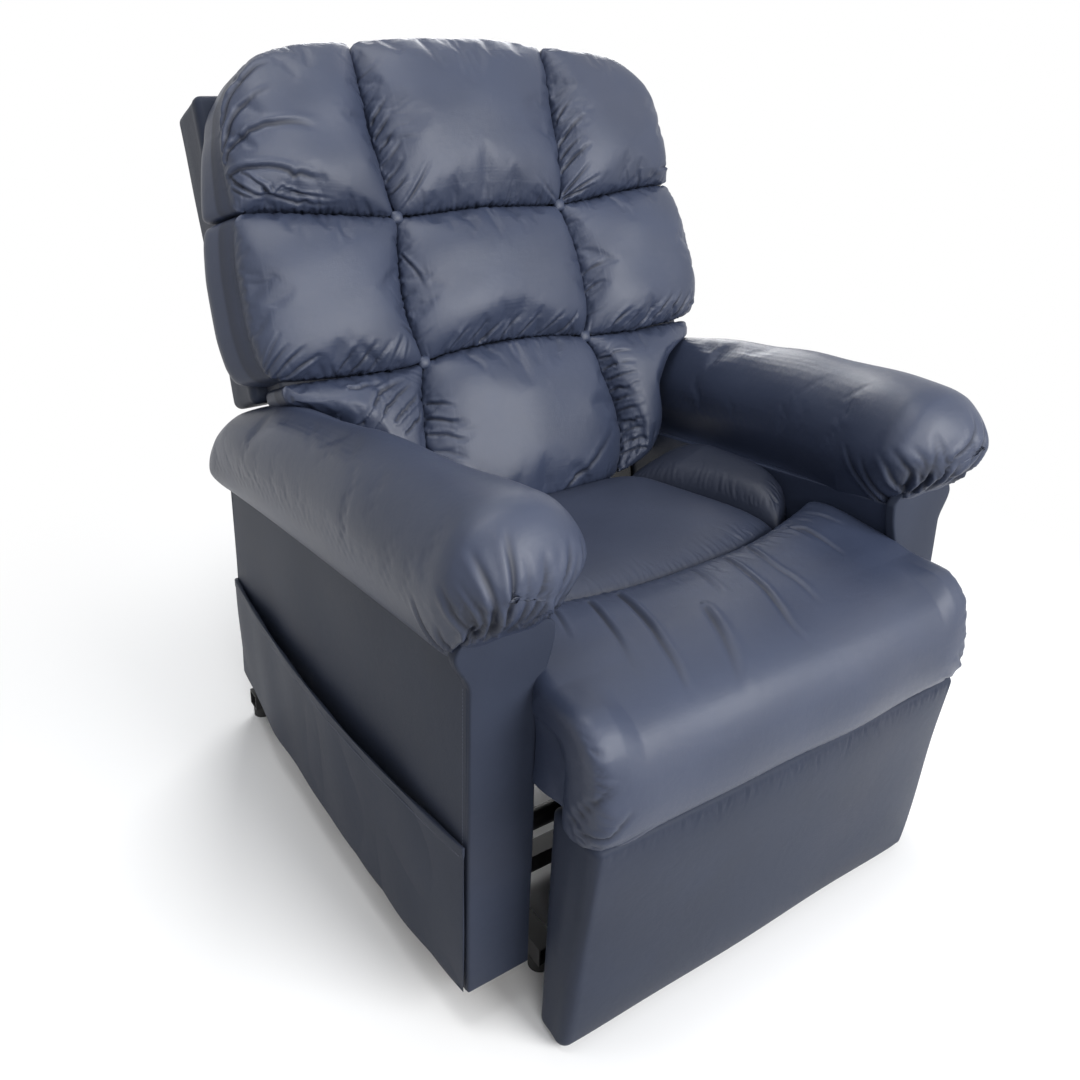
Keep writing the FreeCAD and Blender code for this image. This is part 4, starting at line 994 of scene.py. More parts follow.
    body: dict = field(default_factory=lambda: {
        "chaise_roll": (
            (4.5, 4.2, 0.6, -178, 104, 514, -193, 48, 520, -207, 5, 519, -223, -39, 517, -231, -66, 514),
            (5.5, 4.6, 0.6, -128, 104, 512, -143, 36, 518, -161, -21, 518, -173, -65, 514, -182, -95, 506,
             -184, -114, 493),
            (3.2, 7, 0.8, -58, 10, 518, -79, -43, 517, -97, -82, 511, -110, -108, 498, -118, -129, 477),
            (4.6, 4, 0.6, 76, 108, 512, 56, 22, 518, 36, -31, 517, 20, -78, 512, 24, -114, 493),
            (4.2, 3.6, 0.6, 130, 116, 508, 112, 40, 518, 106, -8, 518, 92, -60, 515),
            (3.6, 3.4, -0.6, 222, 128, 512, 222, 89, 520, 223, 57, 521),
            (3.8, 3.4, 0.6, 210, 122, 514, 230, 92, 521, 226, 48, 521, 217, 2, 519),
            (3.4, 3.2, 0.6, -232, 112, 516, -246, 70, 522, -262, 30, 524),
            (3.4, 3.4, -0.6, -280, 122, 520, -290, 80, 526, -296, 44, 528),
            (3, 3.4, 0.6, 10, 112, 512, 2, 60, 517, -10, 20, 518),
            (3, 3.2, 0.6, 270, 130, 516, 280, 96, 524, 284, 60, 526)),
        "arm_cushion_right": (
            (5, 3.2, 0.6, -440, 4, 576, -454, 14, 592, -464, 8, 622),
            (6.5, 4, 0.6, -429, -16, 600, -444, -23, 622, -463, -18, 653, -466, -2, 680),
            (7, 4.2, 0.6, -421, -30, 606, -429, -53, 664, -436, -40, 696, -441, -12, 721),
            (7.5, 4.4, 0.6, -408, -36, 610, -410, -53, 646, -407, -55, 682, -403, -38, 716, -398, -18, 736),
            (6.5, 4.2, -0.6, -382, -36, 612, -373, -55, 657, -365, -52, 684, -365, -40, 708),
            (6.5, 4.2, 0.6, -366, -34, 610, -339, -50, 660, -325, -42, 684, -322, -28, 708),
            (6, 3.8, 0.6, -350, -28, 606, -317, -36, 644, -300, -30, 674, -296, -16, 700),
            (5.5, 3.6, -0.6, -338, -20, 602, -306, -22, 628, -288, -14, 652),
            (5, 3.4, 0.6, -446, 24, 570, -464, 40, 600, -470, 52, 640)),
        "arm_cushion_left": (
            (6, 4, 0.6, 333, 20, 560, 316, 38, 573, 297, 55, 599, 287, 75, 633, 293, 93, 659),
            (6.5, 4, 0.6, 326, 12, 566, 306, 30, 588, 283, 40, 620, 281, 51, 651),
            (6, 4, -0.6, 322, 0, 590, 303, -21, 637, 284, -15, 659, 278, 8, 680),
            (6, 3.8, 0.6, 330, -8, 598, 306, 2, 611, 283, 5, 645, 277, 20, 668),
            (6.5, 4, 0.6, 345, -28, 606, 351, -52, 658, 373, -55, 675, 396, -51, 695, 410, -30, 722),
            (6, 4, 0.6, 372, -34, 610, 392, -52, 650, 420, -48, 684, 436, -28, 706),
            (6, 3.8, -0.6, 400, -30, 608, 424, -40, 640, 448, -30, 672),
            (5.5, 3.8, 0.6, 336, -22, 602, 322, -44, 640, 320, -46, 672, 322, -30, 704)),
    })

    def of(self, name: str) -> list[Fold]:
        """The creases of one piece."""
        folds = []
        for depth, width, lip, *path in self.body.get(name, ()):
            folds.append(Fold(tuple(map(tuple, np.reshape(path, (-1, 3)))), depth, width, lip, 0.8))
        for depth, width, lip, *path in self.back.get(name, ()):
            spots = np.reshape(np.array(path, float), (-1, 2))
            rough = self.frame.back(spots[:, 0], spots[:, 1], np.linspace(14, 44, len(spots)))
            folds.append(Fold(tuple(map(tuple, rough)), depth, width, lip, 0.8))
        return folds


class Workshop:
    """What every sub-assembly shares: the frame, the finishes and the way a piece is finished."""

    def __init__(self, frame: Frame) -> None:
        """Make the finishes."""
        self.frame = frame
        self.creases = Creases(frame)
        self.materials = {finish: finish.recipe().make() for finish in Finish}
        self.made: list[str] = []

    def piece(self, name: str, skin: Skin, finish: Finish, body: str, replaces: Sequence[str] = (),
              fill: float | None = None) -> bpy.types.Object:
        """Turn a surface into a finished piece on a body.

        Args:
            name: the piece's name.
            skin: its surface.
            finish: its finish.
            body: the body it rides on.
            replaces: the nodes it stands for.
            fill: how full it is, where it is padded; not used.

        Returns:
            The object.
        """
        obj = make_object(name, skin, self.frame)
        self.dress(obj, finish)
        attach(obj, body)
        if replaces:
            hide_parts(*replaces)
        LOG.info("%s: %d points on %s", name, len(obj.data.vertices), body)
        self.made.append(name)
        return obj

    def panel(self, name: str, board: "Board", swells: tuple[int, float, float], node: str | None = None,
              finish: Finish = Finish.VINYL_PANEL) -> None:
        """Cover a board of the chair's frame in vinyl with faint swells on its face.

        Args:
            name: the piece's name.
            board: its shape.
            swells: their seed, height and length.
            node: the node it stands for, if any.
            finish: its finish.
        """
        skin = board.surface()
        Drape(skin).wave(*swells, np.clip(skin.cube[:, 2] * 3, 0, 1))
        self.piece(name, skin, finish, "chair_frame", [node] if node else ())

    def dress(self, obj: bpy.types.Object, finish: Finish) -> None:
        """Give a piece its material."""
        obj.data.materials.clear()
        obj.data.materials.append(self.materials[finish])


# ---- seams ---------------------------------------------------------------------------------------------
@dataclass(frozen=True)
class Stitching:
    """Rows of small stitches that follow a line.

    Attributes:
        length: of a stitch.
        pitch: from one stitch to the next.
        thread: radius of the thread.
    """

    length: float = 3.6
    pitch: float = 5.2
    thread: float = 0.42

    def tree(self, material: bpy.types.Material) -> bpy.types.NodeTree:
        """The geometry nodes that set stitches along a curve.

        Args:
            material: the thread's finish.

        Returns:
            The node tree.
        """
        group = bpy.data.node_groups.new("stitch_rows", "GeometryNodeTree")
        face = group.interface
        face.new_socket("Line", in_out="INPUT", socket_type="NodeSocketGeometry")
        for name, value in (("Stitch Length", self.length / 1000), ("Pitch", self.pitch / 1000),
                            ("Thread Radius", self.thread / 1000)):
            face.new_socket(name, in_out="INPUT", socket_type="NodeSocketFloat").default_value = value
        face.new_socket("Stitches", in_out="OUTPUT", socket_type="NodeSocketGeometry")
        nodes, links = group.nodes, group.links
        start, end = nodes.new("NodeGroupInput"), nodes.new("NodeGroupOutput")
        sample = nodes.new("GeometryNodeCurveToPoints")
        sample.mode = "LENGTH"
        bead = nodes.new("GeometryNodeMeshUVSphere")
        for socket, value in (("Segments", 6), ("Rings", 4), ("Radius", 1.0)):
            bead.inputs[socket].default_value = value
        size, half = nodes.new("ShaderNodeCombineXYZ"), nodes.new("ShaderNodeMath")
        half.operation = "MULTIPLY"
        half.inputs[1].default_value = 0.5
        place, real = nodes.new("GeometryNodeInstanceOnPoints"), nodes.new("GeometryNodeRealizeInstances")
        paint = nodes.new("GeometryNodeSetMaterial")
        paint.inputs["Material"].default_value = material
        for source, output, target, entry in (
                (start, "Line", sample, "Curve"), (start, "Pitch", sample, "Length"), (start, "Stitch Length", half, 0),
                (start, "Thread Radius", size, "X"), (start, "Thread Radius", size, "Y"), (half, 0, size, "Z"),
                (sample, "Points", place, "Points"), (sample, "Rotation", place, "Rotation"),
                (bead, "Mesh", place, "Instance"), (size, 0, place, "Scale"), (place, "Instances", real, "Geometry"),
                (real, "Geometry", paint, "Geometry"), (paint, "Geometry", end, "Stitches")):
            links.new(source.outputs[output], target.inputs[entry])
        return group

    def sew(self, name: str, lines: Sequence[Points], shop: Workshop, body: str) -> bpy.types.Object:
        """Sew stitches along lines.

        Args:
            name: the piece's name.
            lines: points along each line in millimetres.
            shop: the workshop.
            body: the body the seam is on.

        Returns:
            The stitches as one mesh.
        """
        curve = bpy.data.curves.new(name + "_line", "CURVE")
        curve.dimensions = "3D"
        for line in lines:
            spline = curve.splines.new("POLY")
            spline.points.add(len(line) - 1)
            for point, place in zip(spline.points, shop.frame.metres(line)):
                point.co = (*place, 1.0)
        holder = bpy.data.objects.new(name + "_line", curve)
        bpy.context.scene.collection.objects.link(holder)
        modifier = holder.modifiers.new("stitches", "NODES")
        group = bpy.data.node_groups.get("stitch_rows") or self.tree(shop.materials[Finish.THREAD])
        modifier.node_group = group
        for item in group.interface.items_tree:
            if item.in_out == "INPUT" and item.name == "Pitch":
                modifier[item.identifier] = self.pitch / 1000
        evaluated = holder.evaluated_get(bpy.context.evaluated_depsgraph_get())
        mesh = bpy.data.meshes.new_from_object(evaluated)
        holder.modifiers.clear()
        bpy.data.objects.remove(holder)
        obj = bpy.data.objects.new(name, mesh)
        mesh.name = name
        bpy.context.scene.collection.objects.link(obj)
        mesh.shade_smooth()
        shop.dress(obj, Finish.THREAD)
        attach(obj, body)
        LOG.info("%s: %d stitches' faces on %s", name, len(mesh.polygons), body)
        return obj


# ---- cushions ------------------------------------------------------------------------------------------
@dataclass
class Pad:
    """One stuffed or covered form over a four-sided outline.

    Attributes:
        outline: its outline in two numbers.
        place: turns those numbers and a height into millimetres.
        crown: height in front of the seam plane.
        depth: depth behind the seam plane.
        corner: squareness of the outline's corners.
        front: squareness of the section in front.
        rear: squareness of the section behind.
        cells: cell size in millimetres.
        back_grid: whether its back is cut into cells too.
        sag: how much fuller it is towards its lower side.
    """

    outline: Outline
    place: Callable[[Points, Points, Points], Points]
    crown: float
    depth: float
    corner: float = 7.0
    front: float = 2.6
    rear: float = 6.0
    cells: float = 2.6
    back_grid: bool = False
    sag: float = 0.0

    def surface(self, coarseness: float = 1.0) -> Skin:
        """The closed surface.

        Args:
            coarseness: how many times larger the cells are than usual.

        Returns:
            The surface.
        """
        rows = np.vstack([self.outline.left, self.outline.right, self.outline.bottom, self.outline.top])
        wide, tall = np.ptp(rows, axis=0)
        cell = self.cells * coarseness
        count = lambda span: max(3, int(round(span / cell)))
        deep = np.concatenate([np.linspace(-1, 0, max(2, count(self.depth) // 3) + 1)[:-1],
                               np.linspace(0, 1, count(self.crown * 1.1 + 14) + 1)])
        cube, quads, tris = box_grid(even(count(wide * 0.8)), even(count(tall * 0.8)), deep, self.back_grid)
        ball = squared(cube, self.corner, self.front, self.rear)
        return Skin(self.shape(ball), quads, tris, ball, np.zeros(len(ball)))

    def shape(self, ball: Points) -> Points:
        """Places of points given from -1 to 1 across, along and out.

        Args:
            ball: rows of three numbers.

        Returns:
            Rows of x, y, z in millimetres.
        """
        a, b, c = ball.T
        flat = self.outline.at(a, b)
        swell = lambda t: (1 - np.abs(np.clip(t, -1, 1)) ** self.front) ** (1 / self.front)
        dome = np.where(np.maximum(np.abs(a), np.abs(b)) < 1, swell(a) * swell(b), 0.0)
        out = np.where(c > 1e-6, dome * self.crown * (1 - self.sag * b), np.minimum(c, 0) * self.depth)
        return self.place(flat[:, 0], flat[:, 1], out)

    def edge(self, side: str, share: Points, out: float) -> tuple[Points, Points, Points]:
        """Points along one side, with the ways inwards and outwards there.

        Args:
            side: left, right, bottom or top.
            share: from 0 to 1 along it.
            out: height at which they lie.

        Returns:
            The points, the inward directions and the outward directions.
        """
        s = 2 * np.asarray(share) - 1
        one = np.ones_like(s)
        a, b = {"left": (-one, s), "right": (one, s), "bottom": (s, -one), "top": (s, one)}[side]
        inset = 0.8
        flat = self.outline.at(a, b)
        next_flat = self.outline.at(a * inset, b) if side in ("left", "right") else self.outline.at(a, b * inset)
        start = self.place(flat[:, 0], flat[:, 1], np.full(len(s), out))
        inward = self.place(next_flat[:, 0], next_flat[:, 1], np.full(len(s), out)) - start
        outward = self.place(flat[:, 0], flat[:, 1], np.full(len(s), out + 10.0)) - start
        return start, inward, outward

    def gathered(self, side: str, seed: int, spacing: float, length: tuple[float, float], slant: float = 0.0,
                 depth: float = 3.0, width: float = 3.0, span: tuple[float, float] = (0.04, 0.96),
                 out: float = 2.0) -> list[Fold]:
        """Small folds from one side.

        Args:
            side: left, right, bottom or top.
            seed: picks their places.
            spacing: about how far apart they are.
            length: shortest and longest.
            slant: how far they lean along the seam.
            depth: of the deepest.
            width: half width.
            span: which part of the side they take.
            out: height at which they start.

        Returns:
            The folds.
        """
        share = np.linspace(*span, 40)
        start, inward, outward = self.edge(side, share, out)
        return gathers(seed, start, inward, outward, spacing, length, slant, depth, width)


@dataclass
class Board:
    """A flat panel with rounded edges, covered all round.

    Attributes:
        outline: its outline in two numbers.
        place: turns those numbers and a height from its middle into millimetres.
        thick: its thickness.
        radius: of its edges.
        swell: how far the middle of its front stands proud.
        cells: cell size in millimetres.
    """

    outline: Outline
    place: Callable[[Points, Points, Points], Points]
    thick: float
    radius: float = 4.0
    swell: float = 0.0
    cells: float = 5.0

    def surface(self) -> Skin:
        """The closed surface."""
        rows = np.vstack([self.outline.left, self.outline.right, self.outline.bottom, self.outline.top])
        half = np.array([*(np.ptp(rows, axis=0) / 2), self.thick / 2])
        lines = [edged(size, self.radius, self.cells) for size in half]
        cube, quads, tris = box_grid(*lines)
        box = rounded(cube, half, self.radius)
        a, b = (np.clip(box[:, k] / half[k], -1, 1) for k in (0, 1))
        flat = self.outline.at(a, b)
        out = box[:, 2] + self.swell * (1 - a ** 6) * (1 - b ** 6) * np.clip(cube[:, 2], 0, 1)
        return Skin(self.place(flat[:, 0], flat[:, 1], out), quads, tris, np.column_stack([a, b, cube[:, 2]]),
                    np.zeros(len(box)))


def plain(x: float, low: float, high: float) -> Outline:
    """A rectangle from -x to x and from low to high."""
    return Outline(((-x, low), (-x, high)), ((x, low), (x, high)), ((-x, low), (x, low)), ((-x, high), (x, high)))


@dataclass
class BackCushions:
    """Nine puffs in three rows, with four covered buttons between them.

    Attributes:
        seam: distance of the seam plane from the buttons' plane.
        rear: distance of the puffs' backs behind the buttons.
        crowns: height of the rows' crowns ahead of the buttons.
        gap: space left between neighbouring puffs.
        flare: how much wider the outer puffs are at their backs, by row.
    """

    shop: Workshop
    seam: float = -3.0
    rear: float = -84.0
    crowns: dict = field(default_factory=lambda: {"top": 47.0, "middle": 46.0, "bottom": 49.0})
    flare: dict = field(default_factory=lambda: {"top": 29.0, "middle": 30.0, "bottom": 6.0})
    gap: float = 0.6
    column_top: tuple = ((165, 3), (173, 36), (180, 87), (184, 138), (187, 198), (189, 250), (190, 296))
    column_middle: tuple = ((166, -240), (176, -207), (181, -171), (183, -128), (180, -85), (173, -40), (165, 3))
    column_bottom: tuple = ((180, -498), (195, -453), (200, -418), (197, -372), (188, -325), (180, -282), (166, -240))
    row_upper: tuple = ((-165, 3), (-110, 6), (0, 10), (110, 6), (165, 3))
    row_lower: tuple = ((-166, -240), (-118, -231), (0, -224), (118, -231), (166, -240))
    row_upper_side: tuple = ((165, 3), (219, 9), (271, 15), (347, 24), (400, 28), (434, 27))
    row_lower_side: tuple = ((166, -240), (244, -243), (330, -240), (385, -236), (431, -228))
    top_middle: tuple = ((-190, 296), (-129, 303), (0, 308), (129, 303), (190, 296))
    top_side: tuple = ((190, 296), (240, 292), (300, 284), (350, 270), (386, 247))
    bottom_middle: tuple = ((-180, -498), (-120, -512), (0, -518), (120, -512), (180, -498))
    bottom_side: tuple = ((180, -498), (222, -486), (262, -462))
    edge_top: tuple = ((434, 27), (435, 70), (434, 120), (424, 180), (386, 247))
    edge_middle: tuple = ((431, -228), (443, -190), (448, -139), (447, -70), (442, -20), (434, 27))
    edge_bottom: tuple = ((262, -462), (284, -425), (303, -370), (322, -330), (346, -300), (378, -281), (408, -267),
                          (418, -239))

    def outlines(self) -> dict[str, Outline]:
        """The outlines of the nine puffs."""
        flip = lambda side: tuple((-x, s) for x, s in side)
        waist = ((166, -240), (240, -243), (330, -241), (418, -239))
        middle = {
            "top_middle": Outline(flip(self.column_top), self.column_top, self.row_upper, self.top_middle),
            "middle_middle": Outline(flip(self.column_middle), self.column_middle, self.row_lower, self.row_upper),
            "bottom_middle": Outline(flip(self.column_bottom), self.column_bottom, self.bottom_middle, self.row_lower),
        }
        left = {
            "top_left": Outline(self.column_top, self.edge_top, self.row_upper_side, self.top_side),
            "middle_left": Outline(self.column_middle, self.edge_middle, self.row_lower_side, self.row_upper_side),
            "bottom_left": Outline(self.column_bottom, self.edge_bottom, self.bottom_side, waist),
        }
        right = {name.replace("left", "right"): outline.mirrored() for name, outline in left.items()}
        return {**middle, **left, **right}

    def pad(self, name: str, outline: Outline) -> Pad:
        """One puff before it is settled."""
        row = name.split("_")[0]

        def place(across: Points, along: Points, out: Points) -> Points:
            """Points of the back; the outer sides flare to the rear."""
            behind = np.clip(-np.asarray(out) / 55.0, 0, 1) ** 0.8
            outer = np.clip((np.abs(across) - 290) / 140, 0, 1)
            narrow = 1 - 0.72 * np.clip((np.asarray(along) - 40) / 120, 0, 1)
            wide = np.asarray(across) + np.sign(across) * self.flare[row] * behind * outer * narrow
            return self.shop.frame.back(wide, along, np.asarray(out) + self.seam)

        return Pad(outline.shrunk(self.gap), place, self.crowns[row] - self.seam, self.seam - self.rear, corner=18.0,
                   front=2.9, rear=10.0, cells=2.35, sag=0.05)

    def folds(self, name: str, pad: Pad) -> list[Fold]:
        """The small folds along a puff's seams."""
        seed = sum(ord(letter) for letter in name)
        row, column = name.split("_")
        folds = pad.gathered("bottom", seed, 10, (16, 44), 0.3, 3.4, 2.5)
        if row != "top":
            folds += pad.gathered("top", seed + 1, 12, (10, 30), -0.25, 2.8, 2.3)
        if column == "middle":
            folds += pad.gathered("left", seed + 2, 13, (14, 40), 0.6, 2.8, 2.4, (0.08, 0.8))
            folds += pad.gathered("right", seed + 3, 17, (8, 22), -0.3, 2.0, 2.2, (0.1, 0.85))
        else:
            inner, outer = ("right", "left") if column == "right" else ("left", "right")
            slant = 0.7 if inner == "left" else -0.7
            folds += pad.gathered(inner, seed + 4, 11, (14, 44), slant, 3.0, 2.4, (0.1, 0.92))
            folds += pad.gathered(outer, seed + 5, 26, (10, 30), -slant, 1.8, 2.6, (0.1, 0.92))
        return folds

    def build(self) -> None:
        """Make the puffs, the ticking behind them and the buttons."""
        settle = Settle(slack=0.022, cap=16.0)
        for name, outline in self.outlines().items():
            pad = self.pad(name, outline)
            skin = pad.surface()
            coarse = pad.surface(2.8)
            held = 1 - np.clip((coarse.cube[:, 2] - 0.1) / 0.3, 0, 1)
            carry(coarse, settle.run(name, coarse, held, self.shop.frame), skin)
            drape = Drape(skin)
            drape.wave(len(name) * 7 + ord(name[0]), 1.8, 130, np.clip(skin.cube[:, 2] * 2, 0, 1))
            drape.lay(self.folds(name, pad) + self.shop.creases.of("puff_" + name))
            # painted shade on each puff's sides down towards its seam, where it meets its neighbours
            skin.add_painted_shade(np.clip(0.45 - skin.cube[:, 2] * 1.3, 0, 1) * (skin.cube[:, 2] > -0.3))
            self.shop.piece("puff_" + name, skin, Finish.VINYL_PADDED, "backrest",
                            ["back_row_" + name.split("_")[0]], 0.75)
        self.ticking()
        self.buttons()

    def ticking(self) -> None:
        """The flat base the puffs are sewn to, darkened all over with painted shade since it lies in shade behind them.
        """
        whole = None
        for outline in (plain(404.0, -226.0, 226.0), plain(296.0, -452.0, -216.0), plain(408.0, -266.0, -214.0)):
            place = lambda a, b, c: self.shop.frame.back(a, b, c - 50.0)
            skin = Board(outline, place, 70.0, 8.0, cells=24.0).surface()
            whole = skin if whole is None else whole.joined(skin)
        # painted shade over the whole ticking
        whole.add_painted_shade(np.ones(len(whole.points)))
        self.shop.piece("back_ticking", whole, Finish.VINYL_PADDED, "backrest",
                        ["back_row_top", "back_row_middle", "back_row_bottom"], 0.9)

    def buttons(self) -> None:
        """Four domed buttons covered in the same vinyl."""
        outline = plain(11.0, -11.0, 11.0)
        whole = None
        for x, s in ((165, 3), (-165, 3), (166, -240), (-166, -240)):
            place = lambda a, b, c, x=x, s=s: self.shop.frame.back(a + x, b + s, c + 6.0)
            skin = Pad(outline, place, 8.0, 9.0, corner=2.0, front=2.2, rear=3.0, cells=1.3, back_grid=True).surface()
            whole = skin if whole is None else whole.joined(skin)
        self.shop.piece("covered_buttons", whole, Finish.VINYL_PADDED, "backrest", ["back_buttons"])


@dataclass
class BackCover:
    """The outside back: an upper shell as wide as the wings and a narrower lower one.

    Attributes:
        upper: half width, bottom and top of the upper shell.
        lower: the same for the lower shell.
        front: where the shells start behind the buttons.
        rear: where they end.
    """

    shop: Workshop
    upper: tuple[float, float, float] = (431.0, -256.0, 244.0)
    lower: tuple[float, float, float] = (319.0, -481.0, -250.0)
    front: float = -83.0
    rear: float = -200.0

    def build(self) -> None:
        """Make both shells and their seams."""
        middle = (self.front + self.rear) / 2
        thick = self.front - self.rear
        for name, (wide, low, high), node in (("outside_back_upper", self.upper, "back_outer_cover"),
                                              ("outside_back_lower", self.lower, "back_lower_cover")):
            place = lambda a, b, c: self.shop.frame.back(-a, b, middle - c)
            skin = Board(plain(wide, low, high), place, thick, 13.0, 3.0, 6.0).surface()
            at_side = np.abs(skin.cube[:, :2]).max(1) > 0.97
            piping = np.exp(-((-skin.cube[:, 2] - 0.72) / 0.05) ** 2) * at_side
            skin.push(piping * 2.2)
            Drape(skin).wave(11, 1.4, 220, np.clip(skin.cube[:, 2] * 3, 0, 1))
            self.shop.piece(name, skin, Finish.VINYL_PANEL, "backrest", [node])
            inset = 22.0
            ring = np.array([(-wide + inset, low + inset), (-wide + inset, high - inset), (wide - inset, high - inset),
                             (wide - inset, low + inset), (-wide + inset, low + inset)], float)
            dense = np.vstack([np.linspace(a, b, 30) for a, b in zip(ring[:-1], ring[1:])])
            rows = self.shop.frame.back(dense[:, 0], dense[:, 1], np.full(len(dense), self.rear - 2.9))
            Stitching().sew(name + "_stitches", [rows], self.shop, "backrest")


@dataclass
class ArmPad:
    """The stuffed top of an arm, gathered over its front.

    Attributes:
        side: 1 for the left arm and -1 for the right one.
        stations: y, lower edge, crest, inner reach and size along the pad.
    """

    shop: Workshop
    side: int
    stations: tuple = ((-58.0, 640.0, 690.0, 360.0, 0.02), (-57.0, 632.0, 700.0, 332.0, 0.26),
                       (-53.0, 622.0, 712.0, 312.0, 0.50), (-44.0, 612.0, 725.0, 296.0, 0.70),
                       (-28.0, 602.0, 738.0, 284.0, 0.87), (-8.0, 588.0, 747.0, 278.0, 0.97),
                       (12.0, 566.0, 750.0, 276.0, 1.0), (32.0, 550.0, 751.0, 279.0, 1.0),
                       (60.0, 546.0, 751.0, 284.0, 1.0), (110.0, 541.0, 750.0, 295.0, 1.0),
                       (226.0, 528.0, 746.0, 311.0, 1.0), (350.0, 514.0, 734.0, 321.0, 1.0),
                       (441.0, 504.0, 720.0, 328.0, 1.0), (601.0, 486.0, 686.0, 331.0, 1.0),
                       (700.0, 475.0, 647.0, 332.0, 1.0), (770.0, 468.0, 606.0, 333.0, 1.0),
                       (800.0, 465.0, 577.0, 335.0, 0.98), (818.0, 465.0, 554.0, 338.0, 0.92),
                       (829.0, 468.0, 539.0, 342.0, 0.78), (835.0, 476.0, 530.0, 350.0, 0.50),
                       (837.0, 493.0, 514.0, 372.0, 0.02))

    def ring(self, y: Points, around: int) -> Points:
        """Sections of the pad.

        Args:
            y: places along the pad.
            around: points round each section.

        Returns:
            x and z for each section and each point round it.
        """
        table = np.array(self.stations)
        low, crest, inner, size = (smooth(table[:, 0], table[:, k], y) for k in range(1, 5))
        h, middle = crest - low, (inner + 470.0) / 2
        full = np.clip((y - 600) / 120, 0, 1)
        knots = np.array([(425 + 0 * h, low), (453 + 0 * h, low + 0.14 * h), (470 + 0 * h, low + 0.42 * h),
                          (461 + 3 * full, low + (0.70 + 0.11 * full) * h),
                          (430 + 9 * full, low + (0.92 + 0.06 * full) * h), (middle + 5, crest),
                          (inner + 46, low + 0.91 * h), (inner + 8, low + 0.66 * h), (inner, low + 0.40 * h),
                          (np.maximum(inner + 20, 315), low + 0.13 * h), (337 + 0 * h, low), (380 + 0 * h, low)])
        count = len(knots)
        at = np.linspace(0, count, around, endpoint=False)
        whole, t = at.astype(int), (at % 1)[:, None, None]
        p0, p1, p2, p3 = (knots[(whole + shift) % count] for shift in (-1, 0, 1, 2))
        curve = 0.5 * (2 * p1 + (p2 - p0) * t + (2 * p0 - 5 * p1 + 4 * p2 - p3) * t ** 2
                       + (3 * p1 - p0 - 3 * p2 + p3) * t ** 3)
        centre = np.array([middle, (low + crest) / 2])
        return np.moveaxis(centre + (curve - centre) * size, -1, 0)

    def surface(self, around: int, along: int) -> Skin:
        """The closed pad.

        Args:
            around: cells round it.
            along: cells along it.

        Returns:
            The surface.
        """
        table = np.array(self.stations)
        travel = np.concatenate([[0], np.cumsum(np.hypot(np.diff(table[:, 0]), 55 * np.diff(table[:, 4])))])
        y = np.interp(np.linspace(0, travel[-1], along + 1), travel, table[:, 0])
        rings = self.ring(y, around)
        depth = np.broadcast_to(y[:, None], rings.shape[:2])
        points = np.stack([rings[..., 0], depth, rings[..., 1]], -1).reshape(-1, 3)
        share = np.broadcast_to(np.linspace(-1, 1, along + 1)[:, None], rings.shape[:2])
        rise = (rings[..., 1] - rings[..., 1].min(1, keepdims=True)) / np.ptp(rings[..., 1], axis=1)[:, None] * 2 - 1
        cube = np.stack([rings[..., 0] / 470, share, rise], -1).reshape(-1, 3)
        number = np.arange(len(y) * around).reshape(len(y), around)
        after = np.roll(number, -1, axis=1)
        quads = np.stack([number[:-1], number[1:], after[1:], after[:-1]], -1).reshape(-1, 4)
        points = np.vstack([points, points[number[0]].mean(0), points[number[-1]].mean(0)])
        cube = np.vstack([cube, [[0, -1, 0]], [[0, 1, 0]]])
        head, foot = len(points) - 2, len(points) - 1
        tris = np.vstack([np.stack([number[0], after[0], np.full(around, head)], -1),
                          np.stack([after[-1], number[-1], np.full(around, foot)], -1)])
        points[:, 0] *= self.side
        if self.side < 0:
            quads, tris = quads[:, ::-1], tris[:, ::-1]
        return Skin(points, quads, tris, cube, np.zeros(len(points)))

    def folds(self) -> list[Fold]:
        """Pleats over the front, drawn together on the front panel's crown, and small gathers beneath them."""
        rng = np.random.default_rng(5 + self.side)
        crown = np.array([(452, 560), (446, 584), (425, 598), (390, 602), (350, 600), (318, 590), (300, 572)], float)
        folds = []
        for number in range(26):
            share = number / 25
            foot = polyline(crown, np.array([share]))[0]
            fan = np.array([foot[0] - 385, 46.0])
            fan /= np.linalg.norm(fan)
            long = number % 2 == 0
            reach = rng.uniform(70, 120) if long else rng.uniform(25, 50)
            path = []
            for t in (0.0, 0.2, 0.45, 0.75, 1.0):
                x = foot[0] + fan[0] * reach * 0.55 * t + rng.normal() * 1.5
                z = foot[1] + reach * (0.25 * t + 0.65 * t * t)
                path.append((x * self.side, -10.0 - 60.0 * math.sin(math.pi * min(1.0, t * 0.9)), z))
            folds.append(Fold(tuple(path), rng.uniform(3.5, 6.0) if long else rng.uniform(2.0, 3.2),
                              rng.uniform(3.0, 4.2) if long else 2.2, rng.choice([-1, 1]) * 0.55, 0.8))
        return folds

    def build(self) -> None:
        """Make the pad."""
        name = "left" if self.side > 0 else "right"
        skin = self.surface(210, 330)
        coarse = self.surface(60, 100)
        held = np.clip((-coarse.cube[:, 2] + 0.1) / 0.6, 0, 1)
        settle = Settle(pressure=2.0, cap=7.0, slack=0.004)
        carry(coarse, settle.run("arm_pad_" + name, coarse, held, self.shop.frame), skin)
        drape = Drape(skin)
        drape.wave(23 + self.side, 2.0, 190, np.clip(skin.cube[:, 2] + 0.5, 0, 1))
        drape.lay(self.folds() + self.shop.creases.of("arm_cushion_" + name))
        self.shop.piece("arm_cushion_" + name, skin, Finish.VINYL_PADDED, "chair_frame", ["arm_pad_" + name], 0.8)


